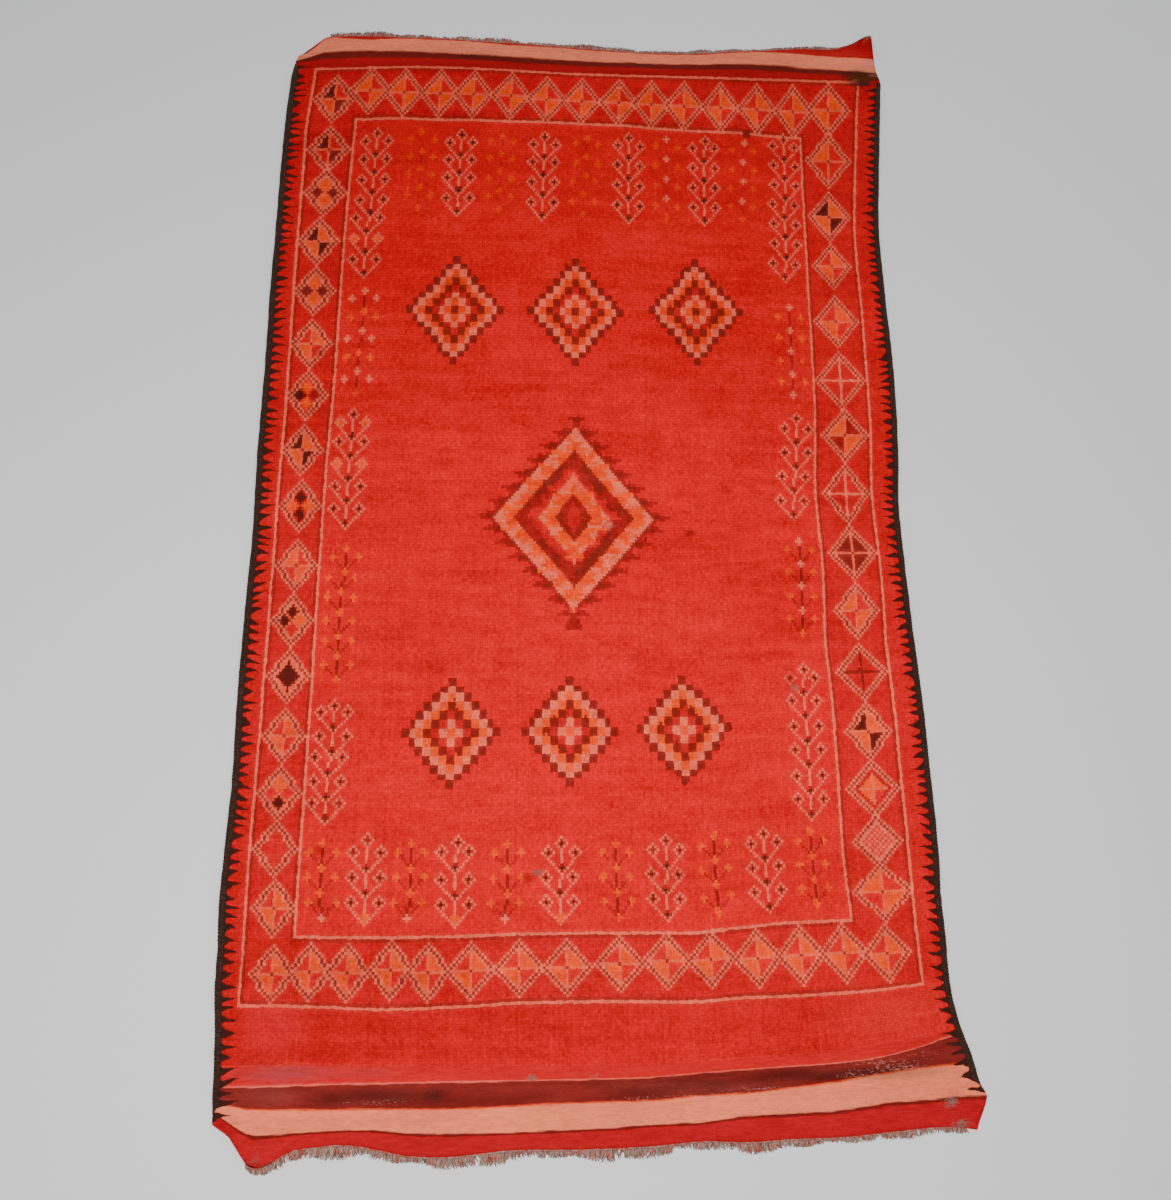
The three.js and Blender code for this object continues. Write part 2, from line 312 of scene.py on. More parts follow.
def between(guides: tuple[Guide, ...], places: Array, stand: Array, bend: Any = None) -> Array:
    """Where rows or columns lie, straight between the two guides around each.

    Args:
        guides: the guides in rising order.
        places: where each guide lies, one layer for each.
        stand: rows or columns to place.
        bend: function that changes the share of the way from one guide to the next.

    Returns:
        Their places.
    """
    stands = np.array([guide.stand for guide in guides])
    low = np.clip(np.searchsorted(stands, stand, side="right") - 1, 0, len(guides) - 2)
    t = (stand - stands[low]) / (stands[low + 1] - stands[low])
    if bend:
        t = bend(t, low)
    before = np.take_along_axis(places, low[None], 0)[0]
    after = np.take_along_axis(places, low[None] + 1, 0)[0]
    return before * (1 - t) + after * t


@dataclass(frozen=True)
class RugPlan:
    """Where each knot lies. Rows and columns follow the woven lines, so they run as unevenly as in the rug.

    Row 0 is the first row of knots at the near end, and the flatwoven ends have the rows before and after.
    """

    columns: int = 258
    rows: int = 352
    near_rows: int = 24
    far_rows: int = 16
    step_width: float = 9.0
    tighter_near_end: float = 0.08
    binding_width: float = 16.0
    gap: float = 0.3
    left_binding: Span = Span(-1322.0, 1282.0)
    right_binding: Span = Span(-1300.0, 1318.0)
    binding_taper: float = 30.0
    binding_overrun: float = 4.0
    straight_width: Span = Span(-790.0, 780.0)
    place_turns: int = 3
    dark_line_row: float = -19
    orange_line_row: float = -11
    pale_line_row: float = -4
    far_dark_rows: float = 6
    far_pink_rows: float = 12
    outer_near_row: float = 19.5
    inner_near_row: float = 41.5
    inner_far_row: float = 331.5
    outer_left_column: float = 6.5
    inner_left_column: float = 24.5
    inner_right_column: float = 225.5
    outer_right_column: float = 249.5

    def row_guides(self) -> tuple[Guide, ...]:
        """The woven lines in order from the near end to the far end."""
        return (
            Guide(-self.near_rows, ENDS, "near"),
            Guide(self.dark_line_row, LINES, "dark"),
            Guide(self.orange_line_row, LINES, "orange"),
            Guide(self.pale_line_row, LINES, "pale"),
            Guide(-1, ENDS, "near_pile", -self.step_width),
            Guide(0, ENDS, "near_pile"),
            Guide(self.outer_near_row, LINES, "outer_near"),
            Guide(self.inner_near_row, LINES, "inner_near"),
            Guide(self.inner_far_row, LINES, "inner_far"),
            Guide(self.rows, ENDS, "far_pile"),
            Guide(self.rows + 1, ENDS, "far_pile", self.step_width),
            Guide(self.rows + self.far_dark_rows, LINES, "far_dark"),
            Guide(self.rows + self.far_pink_rows, LINES, "far_pink"),
            Guide(self.rows + self.far_rows, ENDS, "far"),
        )

    def column_guides(self) -> tuple[Guide, ...]:
        """The cloth's two edges and the upright border lines, in order from the left."""
        return (
            Guide(0, SIDES, "left"),
            Guide(self.outer_left_column, BORDERS, "outer_left"),
            Guide(self.inner_left_column, BORDERS, "inner_left"),
            Guide(self.inner_right_column, BORDERS, "inner_right"),
            Guide(self.outer_right_column, BORDERS, "outer_right"),
            Guide(self.columns, SIDES, "right"),
        )

    def binding(self, side: Side) -> Span:
        """Where the binding of a side starts and stops along the rug."""
        return self.left_binding if side is Side.LEFT else self.right_binding

    def binding_fullness(self, side: Side, y: Array) -> Array:
        """Share of the binding's full width at y: 1, and down to 0 over the taper at both ends."""
        start, stop = self.binding(side)
        begin = smoothstep(start - self.binding_overrun, start + self.binding_taper, y)
        return begin * (1 - smoothstep(stop - self.binding_taper, stop + self.binding_overrun, y))

    def inset(self, side: Side, y: Array) -> Array:
        """How far the cloth's edge lies inside the outline: the binding's width there and the gap."""
        return (self.binding_width + self.gap) * self.binding_fullness(side, y)

    def guide_x(self, guide: Guide, y: Array) -> Array:
        """Place across the rug of a column guide."""
        x = guide.at(y)
        if guide.table is SIDES:
            side = Side(guide.line)
            inset = self.inset(side, y)
            return x + inset if side is Side.LEFT else x - inset
        return x

    def edge(self, side: Side, y: Array) -> Array:
        """Edge of the cloth on that side."""
        guides = self.column_guides()
        return self.guide_x(guides[0] if side is Side.LEFT else guides[-1], y)

    def bend_share(self, t: Array, guide: Array, back: bool = False) -> Array:
        """Spreads the field's rows, which are beaten in more tightly towards the near end.

        The share of the length is t(1 - e) + e t squared, where e is tighter_near_end.

        Args:
            t: share of the rows, or of the length where back is true.
            guide: number of the guide before each place.
            back: turn a share of the length into a share of the rows.

        Returns:
            The other share, changed only between the two inner lines.
        """
        e = self.tighter_near_end
        field_guide = [row_guide.line for row_guide in self.row_guides()].index("inner_near")
        if back:
            bent = (np.sqrt((1 - e) ** 2 + 4 * e * np.clip(t, 0, 1)) - (1 - e)) / (2 * e)
        else:
            bent = t * (1 - e) + e * t * t
        return np.where(guide == field_guide, bent, t)

    def y_at(self, x: Array, row: Array) -> Array:
        """Place along the rug of a row at x."""
        guides = self.row_guides()
        return between(guides, np.stack([guide.at(x) for guide in guides]), row, self.bend_share)

    def x_at(self, column: Array, y: Array) -> Array:
        """Place across the rug of a column at y."""
        guides = self.column_guides()
        return between(guides, np.stack([self.guide_x(guide, y) for guide in guides]), column)

    def place(self, column: Array, row: Array) -> tuple[Array, Array]:
        """Plan place of knots: from straight columns, x and y are worked out from each other in turns."""
        column, row = np.broadcast_arrays(np.asarray(column, float), np.asarray(row, float))
        left, right = self.straight_width
        x = left + (right - left) * column / self.columns
        y = self.y_at(x, row)
        for _ in range(self.place_turns):
            x = self.x_at(column, y)
            y = self.y_at(x, row)
        return x, y

    def knot_at(self, x: float, y: float) -> tuple[int, int]:
        """Column and row of the knot that covers a place: the inverse of place()."""
        at_x, at_y = np.array([x], float), np.array([y], float)
        rows, columns = self.row_guides(), self.column_guides()
        along = np.array([guide.at(at_x)[0] for guide in rows])
        across = np.array([self.guide_x(guide, at_y)[0] for guide in columns])
        low, share = self.share_between(along, y)
        share = self.bend_share(np.array([share]), np.array([low]), back=True)[0]
        row = rows[low].stand + share * (rows[low + 1].stand - rows[low].stand)
        left, share = self.share_between(across, x)
        column = columns[left].stand + share * (columns[left + 1].stand - columns[left].stand)
        return math.floor(column), math.floor(row)

    @staticmethod
    def share_between(places: Array, place: float) -> tuple[int, float]:
        """Number of the guide before a place, and the share of the way to the next."""
        low = int(np.clip(np.searchsorted(places, place) - 1, 0, len(places) - 2))
        return low, (place - places[low]) / (places[low + 1] - places[low])


class Dye(Enum):
    """Wools of the knots: the letter that stands for each in the charts, and its colour."""

    FIELD = ("F", (0.74, 0.004, 0.009))
    BORDER = ("B", (0.64, 0.004, 0.009))
    PALE = ("P", (0.95, 0.125, 0.07))
    ORANGE = ("O", (0.97, 0.058, 0.002))
    RUST = ("U", (0.9, 0.034, 0.001))
    SALMON = ("S", (0.95, 0.09, 0.04))
    ROSE = ("R", (0.6, 0.006, 0.009))
    DARK = ("D", (0.1, 0.01, 0.008))
    MAROON = ("M", (0.23, 0.015, 0.012))
    WINE = ("W", (0.365, 0.011, 0.0115))

    def __init__(self, letter: str, colour: Colour) -> None:
        """Takes the letter in the charts and the linear colour of the clean wool."""
        self.letter = letter
        self.colour = colour


DYES = tuple(Dye)
BLANK = -1
LETTERS = {dye.letter: number for number, dye in enumerate(DYES)} | {".": BLANK}


def dye_number(dye: Dye) -> int:
    """Number of a dye in the chart's array."""
    return DYES.index(dye)


def paint(motif: Array, where: Array, dye: Dye) -> None:
    """Knots one dye into a chart where it's asked for."""
    motif[where] = dye_number(dye)


def chart_from(*lines: str) -> Array:
    """Turns a small chart drawn in letters, its far row first, into dye numbers with the near row first."""
    return np.array([[LETTERS[letter] for letter in line] for line in lines])[::-1]


class Filling(Enum):
    """What a border diamond holds."""

    QUARTERS = "quarters"
    SPOTS = "spots"
    SOLID = "solid"
    CROSS = "cross"
    LATTICE = "lattice"
    NESTED = "nested"


class Diamond(NamedTuple):
    """A diamond of the border. Letters of its quarters: far left, far right, near left, near right.

    Letters of its spots: far, left, right, near, and the ground between them.
    """

    x: float
    y: float
    letters: str
    half_width: int = 7
    half_height: int = 8
    filling: Filling = Filling.QUARTERS


class Tree(NamedTuple):
    """A branched stem with buds: the places of its lowest and highest bud, and the pairs of buds beside it.

    The letters of its stem buds and of its side buds are repeated from the base up.
    """

    base_x: float
    base_y: float
    top_x: float
    top_y: float
    tiers: int
    stem_buds: str = "D"
    base_bud: str = "D"
    side_buds: str = "D"

    def at(self, share: float) -> tuple[float, float]:
        """Place at a share of the way from its base to its top."""
        return (
            self.base_x + share * (self.top_x - self.base_x),
            self.base_y + share * (self.top_y - self.base_y),
        )

    def stem_bud(self, number: int) -> str:
        """Letter of the bud on the stem at that tier, 0 at the base."""
        return self.base_bud if number == 0 else self.stem_buds[(number - 1) % len(self.stem_buds)]

    def side_bud(self, number: int) -> str:
        """Letter of the two side buds of that tier."""
        return self.side_buds[number % len(self.side_buds)]


class Lozenge(NamedTuple):
    """A stepped lozenge of square blocks: letters of its rings from the middle out, knots to a block."""

    x: float
    y: float
    rings: str
    block: float


class Mottle(NamedTuple):
    """Soft patches of shade: their size in rows and columns of knots, and how much they change the light."""

    rows: float
    columns: float
    amount: float


class Stain(NamedTuple):
    """A soft spot of dirt, wear or other wool on the cloth."""

    x: float
    y: float
    half_width: float
    half_length: float
    strength: float
    colour: Colour

    def cover(self, x: Array, y: Array) -> Array:
        """Share of its strength at a place: 1 over its inner part, and down to 0 a little outside it."""
        away = np.hypot((x - self.x) / self.half_width, (y - self.y) / self.half_length)
        return self.strength * np.clip(1.4 - away, 0, 1)


class RingSize(NamedTuple):
    """How far a ring's dark inside, its orange part and its pale outside reach, in steps from the middle."""

    inside: float
    orange: float
    outside: float


class MedallionGrid(NamedTuple):
    """The medallion's dye numbers, and what each knot is chosen by.

    dx and dy are columns and rows from the middle, steps is the sum of both without their signs, and
    mixed is how far the wools run into each other.
    """

    motif: Array
    dx: Array
    dy: Array
    steps: Array
    mixed: Array


@dataclass(frozen=True)
class Medallion:
    """The large diamond in the middle, measured in steps: knots across plus knots along.

    Both rings are pale outside and orange inside, and the line between them steps every few rows. Between
    the rings lies a dark band of uneven width, and dark combs stand outside the outer ring.
    """

    seed: int
    reach: int = 40
    outer: RingSize = RingSize(24, 28, 32)
    inner: RingSize = RingSize(8.6, 13, 16)
    inner_half_width: float = 14.5
    step_rows: int = 5
    comb_length: int = 8
    comb_taper: int = 3
    comb_base: int = 4
    comb_rows: int = 35
    finial_top: int = 36
    tuft_bottom: int = -40
    mixing: float = 2.2
    unevenness: float = 1.6
    rose_reach: float = 18.5
    field_reach: float = 18.0
    core_edge: float = 6.5
    core_rose: float = 5.0

    def chart(self) -> Array:
        """Dye numbers of the whole diamond, blank beyond it, near row first."""
        dy, dx = np.mgrid[-self.reach:self.reach + 1, -self.reach:self.reach + 1]
        mixed = self.mixing * patches(dx.shape, (1, 2.5), np.random.default_rng(self.seed + 4))
        motif = np.full(dx.shape, BLANK)
        grid = MedallionGrid(motif, dx, dy, np.abs(dx) + np.abs(dy), mixed)
        self.paint_combs(grid)
        self.paint_ring(grid, self.outer, grid.steps)
        fourth = self.row_of_step(dy) == 4
        paint(motif, (grid.steps <= self.outer.orange + 1) & fourth, Dye.SALMON)
        self.paint_band(grid)
        inner = np.abs(dx) * self.inner.outside / self.inner_half_width + np.abs(dy)
        self.paint_ring(grid, self.inner, inner)
        far_tip = (inner <= self.inner.outside) & (inner > self.inner.orange - 1) & (dy > 9)
        paint(motif, far_tip, Dye.SALMON)
        core = inner <= self.inner.inside
        paint(motif, core, Dye.WINE)
        paint(motif, core & (inner > self.core_edge) & (dy < 3), Dye.MAROON)
        paint(motif, (inner <= self.core_rose) & (np.abs(dx) < 3), Dye.ROSE)
        return motif

    def row_of_step(self, dy: Array) -> Array:
        """Number of a row within its step, counted away from the middle."""
        return np.abs(dy) % self.step_rows

    def paint_combs(self, grid: MedallionGrid) -> None:
        """Knots the combs, longest at the middle row of each step, and a finial at both tips."""
        motif, dx, dy, steps, _ = grid
        tip = self.outer.outside
        comb = self.comb_length - self.comb_taper * np.abs((dy + 1) % self.step_rows - 2)
        allowed = (steps > tip) & (np.abs(dy) < self.comb_rows) & (np.abs(dx) > 1)
        paint(motif, allowed & (steps - tip <= comb), Dye.WINE)
        paint(motif, allowed & (steps - tip <= comb - self.comb_base), Dye.MAROON)
        paint(motif, (dy > tip) & (dy < self.finial_top) & (np.abs(dx) < 2), Dye.WINE)
        paint(motif, (dy == self.finial_top) & (np.abs(dx) < 4), Dye.MAROON)
        tuft = (dy < -tip - 1) & (dy > self.tuft_bottom) & (np.abs(dx) <= (-tip - dy) // 2)
        paint(motif, tuft, Dye.WINE)

    def paint_ring(self, grid: MedallionGrid, ring: RingSize, steps: Array) -> None:
        """Knots a pale ring with its stepped orange inside, deeper in the middle rows of each step.

        Args:
            grid: the chart, changed in place.
            ring: how far its parts reach.
            steps: steps of each knot from the middle.
        """
        row = self.row_of_step(grid.dy)
        reach = steps - row + grid.mixed
        paint(grid.motif, steps <= ring.outside, Dye.PALE)
        orange = (reach <= ring.orange) & (row + 0.8 * grid.mixed < self.step_rows - 1)
        paint(grid.motif, orange, Dye.ORANGE)
        deep = (reach <= ring.orange - 1) & (np.abs(row + 0.4 * grid.mixed - 1.5) < 1)
        paint(grid.motif, deep, Dye.RUST)

    def paint_band(self, grid: MedallionGrid) -> None:
        """Knots the space between the rings: dark outside, and rose with red rows further in."""
        motif, dx, dy, steps, mixed = grid
        uneven = self.unevenness * patches(dx.shape, (3, 3), np.random.default_rng(self.seed + 3))
        inside = steps <= self.outer.inside
        paint(motif, inside, Dye.WINE)
        paint(motif, inside & (uneven < 0), Dye.MAROON)
        paint(motif, steps + 1.5 * uneven + 0.08 * dx <= self.rose_reach, Dye.ROSE)
        paint(motif, (steps + mixed <= self.field_reach) & (dy % self.step_rows < 2), Dye.FIELD)


DIRT: Colour = (0.2, 0.12, 0.09)
SOOT: Colour = (0.07, 0.014, 0.011)
WORN: Colour = (0.42, 0.16, 0.12)


@dataclass
class KnotChart:
    """The weaver's chart: one dye for each knot of the field and its borders."""

    plan: RugPlan
    seed: int = 5
    strays: float = 0.035
    blend: float = 0.16
    wear: float = 0.8
    worn_gain: Colour = (0.03, 0.003, 0.0015)
    near_share: float = 0.6
    speckle: float = 0.06
    streaks: float = 0.03
    mottles: tuple[Mottle, ...] = table_of(
        Mottle,
        (4, 6, 0.07), (16, 30, 0.06), (1.6, 14, 0.09), (3, 70, 0.05), (9, 300, 0.03),
    )
    # Painted light: the lamp's fall-off across the rug, painted into the knots' colours
    painted_near_light: float = 0.95
    middle_gain: float = 0.08
    painted_far_loss: float = 0.19
    painted_left_light: float = 0.90
    stain_raggedness: float = 0.35
    dyes: Array = field(init=False)
    far_row_x: tuple[float, ...] = (-578, -488, -398, -307, -205, -115, -17, 80, 171, 261, 360, 459, 558)
    far_row_y: float = 1202
    mirrored_from_x: float = 200
    near_row_x: tuple[float, ...] = (
        -710, -630, -548, -460, -380, -286, -182, -80, 32, 135, 236, 338, 438, 535, 632,
    )
    near_row_y: float = -1041
    near_row_narrow: int = 5
    near_row_rise: float = 3
    nested_ring: int = 6
    spot_away: int = 3
    spot_reach: int = 2
    core_reach: float = 4.4
    side_diamonds: tuple[Diamond, ...] = table_of(
        Diamond,
        (-670, 1170, "DFUM"), (-680, 1010, "DFFM"), (-685, 884, "OMMOS", 7, 8, Filling.SPOTS),
        (-691, 737, "DOOD"), (-693, 593, "OMMOS", 7, 8, Filling.SPOTS), (-697, 450, "FOOF"),
        (-699, 310, "ODWOR", 7, 8, Filling.SPOTS), (-701, 166, "DOOD"),
        (-701, 19, "DOODR", 7, 8, Filling.SPOTS), (-705, -128, "OFFO"),
        (-705, -262, "DDOFS", 7, 8, Filling.SPOTS), (-708, -392, "DS", 7, 8, Filling.SOLID),
        (-710, -531, "FOOF"), (-712, -658, "OFFDS", 7, 8, Filling.SPOTS),
        (-718, -784, "FB", 7, 8, Filling.SOLID), (-712, -909, "FOOF"), (656, 1208, "FOOF", 8, 8),
        (645, 1042, "OFFF", 9, 10), (637, 869, "DOOD", 9, 9), (633, 721, "FOOF", 8, 8),
        (633, 555, "FOOF", 9, 9), (631, 388, "P", 10, 10, Filling.CROSS), (631, 239, "OWWO", 9, 9),
        (621, 77, "P", 9, 10, Filling.CROSS), (625, -76, "MMMM", 9, 9), (625, -221, "OFFO", 8, 9),
        (624, -371, "M", 9, 9, Filling.CROSS), (627, -513, "DOOD", 8, 9),
        (627, -650, "OOOF", 9, 9, Filling.NESTED), (631, -771, "PF", 8, 8, Filling.LATTICE),
        (632, -882, "OFFO", 10, 9),
    )
    pale_trees: tuple[Tree, ...] = table_of(
        Tree,
        (-346, 843, -339, 1074, 4), (-128, 841, -116, 1080, 4), (98, 843, 107, 1087, 4),
        (299, 846, 311, 1090, 4), (-577, 655, -557, 1065, 7, "D", "D", "DODDDDD"),
        (508, 686, 529, 1104, 7), (-594, -22, -588, 262, 5, "D", "D", "DDODO"),
        (-611, -718, -602, -462, 5), (489, 26, 508, 280, 4), (478, -708, 483, -368, 6),
        (-518, -932, -515, -766, 3, "D", "O"), (-327, -937, -320, -770, 3, "D", "O"),
        (-95, -935, -92, -771, 3, "D", "O"), (141, -926, 143, -766, 3), (369, -913, 368, -750, 3),
    )
    orange_trees: tuple[Tree, ...] = table_of(
        Tree,
        (-447, 850, -440, 1076, 4, "U", "U", "U"), (-240, 850, -228, 1080, 4, "U", "U", "U"),
        (-18, 850, -5, 1080, 4, "U", "U", "U"), (200, 848, 210, 1090, 4, "P", "U", "U"),
        (402, 850, 418, 1086, 4, "P", "U", "U"), (-583, 320, -572, 598, 5, "PO", "U", "PO"),
        (-602, -400, -592, -88, 6, "O", "O", "O"), (506, 345, 512, 592, 4, "P", "P", "O"),
        (486, -280, 496, -47, 4, "P", "O", "O"), (-612, -932, -612, -767, 3, "O", "P", "O"),
        (-425, -933, -421, -769, 3, "O", "P", "O"), (-213, -935, -210, -772, 3, "O", "P", "O"),
        (30, -930, 30, -772, 3, "O", "O", "O"), (255, -921, 255, -755, 3, "O", "O", "O"),
        (478, -905, 476, -750, 3, "O", "O", "O"),
    )
    lozenges: tuple[Lozenge, ...] = table_of(
        Lozenge,
        (-346, 552, "MUPRMUPM", 2.75), (-46, 561, "MUPRMUPM", 2.75), (267, 570, "MUPRMUPM", 2.75),
        (-338, -527, "OPRMOPM", 2.9), (-68, -518, "OPRMOPM", 2.9), (195, -515, "OPRMOPM", 2.9),
    )
    middle_trees_beyond: float = 0.0
    faded_trees_beyond: float = 600.0
    bud_reach: int = 5
    darn_place: tuple[float, float] = (428, 1122)
    medallion_place: tuple[float, float] = (-54, 3)
    stains: tuple[Stain, ...] = table_of(
        Stain,
        (-145, -836, 11, 8, 0.8, (0.2, 0.1, 0.08)), (-165, -848, 14, 10, 0.6, (0.3, 0.01, 0.008)),
        (228, -33, 13, 10, 0.75, SOOT), (30, -15, 10, 10, 0.5, (0.9, 0.2, 0.13)),
        (322, 86, 20, 12, 0.3, SOOT), (459, -413, 8, 8, 0.8, (0.2, 0.12, 0.1)),
        (450, -385, 13, 34, 0.5, (0.45, 0.004, 0.006)), (430, -330, 30, 12, 0.4, (0.5, 0.004, 0.006)),
        (762, 1303, 44, 13, 0.9, SOOT), (-700, -1150, 60, 60, 0.25, (0.85, 0.03, 0.03)),
        (640, -1150, 150, 60, 0.35, (0.86, 0.03, 0.024)),
    )

    def __post_init__(self) -> None:
        """Starts with bare wool and draws every motif on it."""
        self.dyes = np.full((self.plan.rows, self.plan.columns), dye_number(Dye.BORDER))
        self.draw_borders()
        self.draw_diamonds()
        for tree in self.orange_trees:
            self.draw_orange_tree(tree)
        for tree in self.pale_trees:
            self.draw_pale_tree(tree)
        for lozenge in self.lozenges:
            self.draw_lozenge(lozenge)
        self.stamp(Medallion(self.seed).chart(), *self.plan.knot_at(*self.medallion_place))

    def stamp(self, motif: Array, column: int, row: int) -> None:
        """Knots a motif with its middle at a knot, leaving the wool where the motif is blank."""
        height, width = motif.shape
        first_row, first_column = row - height // 2, column - width // 2
        rows = slice(max(first_row, 0), min(first_row + height, self.plan.rows))
        columns = slice(max(first_column, 0), min(first_column + width, self.plan.columns))
        part = motif[
            rows.start - first_row:rows.stop - first_row,
            columns.start - first_column:columns.stop - first_column,
        ]
        target = self.dyes[rows, columns]
        target[part != BLANK] = part[part != BLANK]

    def draw_borders(self) -> None:
        """Fills the field and knots the pale frame lines, each with a dark line on its border side."""
        plan = self.plan
        left, right = int(plan.inner_left_column), int(plan.inner_right_column)
        near, far = int(plan.inner_near_row), int(plan.inner_far_row)
        self.dyes[near:far, left:right] = dye_number(Dye.FIELD)
        self.frame(left - 1, right + 1, near - 1, far + 1, Dye.WINE)
        self.frame(left, right, near, far, Dye.PALE)
        outer_left, outer_right = int(plan.outer_left_column), int(plan.outer_right_column)
        outer_near, outer_far = int(plan.outer_near_row), plan.rows - 1
        self.frame(outer_left + 1, outer_right - 1, outer_near + 1, outer_far - 1, Dye.WINE)
        self.frame(outer_left, outer_right, outer_near, outer_far, Dye.PALE)
        self.stamp(chart_from("MMM", "MMM", "MMM"), *self.plan.knot_at(*self.darn_place))

    def frame(self, left: int, right: int, near: int, far: int, dye: Dye) -> None:
        """Knots a one-knot line round a rectangle of columns and rows."""
        number = dye_number(dye)
        self.dyes[near:far + 1, [left, right]] = number
        self.dyes[[near, far], left:right + 1] = number

    def draw_diamonds(self) -> None:
        """Knots both rows and both columns of border diamonds.

        The far row is mirrored from mirrored_from_x on. The near row starts with narrow diamonds, and each
        one beyond those and the next stands near_row_rise further along.
        """
        for x in self.far_row_x:
            letters = "OFFO" if x < self.mirrored_from_x else "FOOF"
            self.draw_diamond(Diamond(x, self.far_row_y, letters, 8))
        for number, x in enumerate(self.near_row_x):
            half_width = 7 if number < self.near_row_narrow else 8
            y = self.near_row_y + self.near_row_rise * max(number - self.near_row_narrow, 0)
            self.draw_diamond(Diamond(x, y, "FOOF", half_width))
        for diamond in self.side_diamonds:
            self.draw_diamond(diamond)

    def draw_diamond(self, diamond: Diamond) -> None:
        """Knots one border diamond.

        Its edge lies half_width times (1 - |row| / half_height) knots from its middle: a dark knot with a
        pale one on either side, and one more pale knot beyond its near and far tips.
        """
        w, h = diamond.half_width, diamond.half_height
        dy, dx = np.mgrid[-h - 1:h + 2, -w - 1:w + 2]
        beyond = np.abs(dx) - np.round(w * (1 - np.abs(dy) / h))
        motif = np.full(dx.shape, BLANK)
        self.fill_diamond(diamond, motif, dx, dy, beyond <= -2)
        within = np.abs(dy) <= h
        paint(motif, within & (np.abs(beyond) == 1), Dye.PALE)
        paint(motif, within & (beyond == 0), Dye.MAROON)
        paint(motif, ~within & (dx == 0), Dye.PALE)
        self.stamp(motif, *self.plan.knot_at(diamond.x, diamond.y))

    def fill_diamond(
        self, diamond: Diamond, motif: Array, dx: Array, dy: Array, inside: Array
    ) -> None:
        """Fills the inside of a diamond.

        Args:
            diamond: the diamond with its filling and letters.
            motif: its chart, changed in place.
            dx, dy: columns and rows from its middle.
            inside: which knots lie within its band.
        """
        numbers = [LETTERS[letter] for letter in diamond.letters]
        cross = (dx == 0) | (dy == 0)
        if diamond.filling in (Filling.QUARTERS, Filling.NESTED):
            quarters = np.where(dy > 0, 0, 2) + np.where(dx > 0, 1, 0)
            if diamond.filling is Filling.NESTED:
                steps = np.abs(dx) + np.abs(dy)
                inside = steps < self.nested_ring
                paint(motif, steps == self.nested_ring, Dye.WINE)
            motif[inside] = np.array(numbers)[quarters[inside]]
            paint(motif, inside & cross, Dye.SALMON)
            if diamond.filling is Filling.QUARTERS:
                paint(motif, (dx == 0) & (dy == 0), Dye.MAROON)
        elif diamond.filling is Filling.SPOTS:
            motif[inside] = numbers[4]
            away = self.spot_away
            for (column, row), number in zip(((0, away), (-away, 0), (away, 0), (0, -away)), numbers):
                motif[np.abs(dx - column) + np.abs(dy - row) <= self.spot_reach] = number
        elif diamond.filling is Filling.SOLID:
            motif[inside] = numbers[1]
            steps = np.abs(dx) + np.abs(dy) * diamond.half_width / diamond.half_height
            motif[steps <= self.core_reach] = numbers[0]
        elif diamond.filling is Filling.CROSS:
            motif[inside & cross] = numbers[0]
        else:
            motif[inside] = numbers[1]
            motif[inside & ((dx + dy) % 2 == 0)] = numbers[0]

    def draw_pale_tree(self, tree: Tree) -> None:
        """Knots a tree in pale outline: a stem, and at each tier a V that ends in two buds."""
        ringed_bud = chart_from("..P..", ".PWP.", "PWDWP", ".PWP.", "..P..")
        filled_bud = chart_from("..P..", ".POP.", "POOOP", ".POP.", "..P..")
        stem_bud = chart_from(".M.", "MDM", ".M.")
        base_bud = stem_bud if tree.base_bud == "D" else chart_from("OOO", "OOO", ".O.")
        for number in range(tree.tiers):
            side_bud = ringed_bud if tree.side_bud(number) == "D" else filled_bud
            self.draw_tier(tree, number, (Dye.PALE, Dye.PALE), (0, self.bud_reach), 2, side_bud)
            self.stamp(stem_bud if number else base_bud, *self.tree_knot(tree, number))
        self.stamp(ringed_bud, *self.tree_knot(tree, tree.tiers))

    def draw_orange_tree(self, tree: Tree) -> None:
        """Knots a tree of small crosses, joined by thin dark stem and branches, fainter up the rug."""
        dyes = (Dye.MAROON, Dye.WINE)
        if tree.base_y > self.faded_trees_beyond:
            dyes = (Dye.ROSE, Dye.FIELD)
        elif tree.base_y > self.middle_trees_beyond:
            dyes = (Dye.WINE, Dye.ROSE)
        for number in range(tree.tiers):
            side_bud = self.cross_bud(tree.side_bud(number))
            self.draw_tier(tree, number, dyes, (1, self.bud_reach - 1), 0, side_bud)
            self.stamp(self.cross_bud(tree.stem_bud(number)), *self.tree_knot(tree, number))
        self.stamp(self.cross_bud(tree.stem_bud(tree.tiers)), *self.tree_knot(tree, tree.tiers))

    def draw_tier(
        self, tree: Tree, number: int, dyes: tuple[Dye, Dye], reach: tuple[int, int], drop: int, bud: Array
    ) -> None:
        """Knots a tier: the stem up to just under the next, two branches, and a bud beside each.

        The stem is straight between the two tiers, and a branch goes one knot out for each row up.

        Args:
            tree: the tree.
            number: the tier, 0 at the base.
            dyes: wools of the stem and of the branches.
            reach: knots from the stem to a branch's first and last knot.
            drop: rows that the branches start below the tier.
            bud: chart of the buds.
        """
        column, row = self.tree_knot(tree, number)
        next_column, next_row = self.tree_knot(tree, number + 1)
        stem_rows = np.arange(row, next_row - 1)
        lean = (stem_rows - row) / (next_row - row)
        stem_columns = np.round(column + lean * (next_column - column)).astype(int)
        self.dyes[stem_rows, stem_columns] = dye_number(dyes[0])
        out = np.arange(reach[0], reach[1] + 1)
        for side in (-1, 1):
            self.dyes[row - drop + out, column + side * out] = dye_number(dyes[1])
            self.stamp(bud, column + side * self.bud_reach, row + self.bud_reach)

    def cross_bud(self, letter: str) -> Array:
        """Chart of a small cross in one wool."""
        return chart_from(*(line.replace("X", letter) for line in (".X.", "XXX", ".X.")))

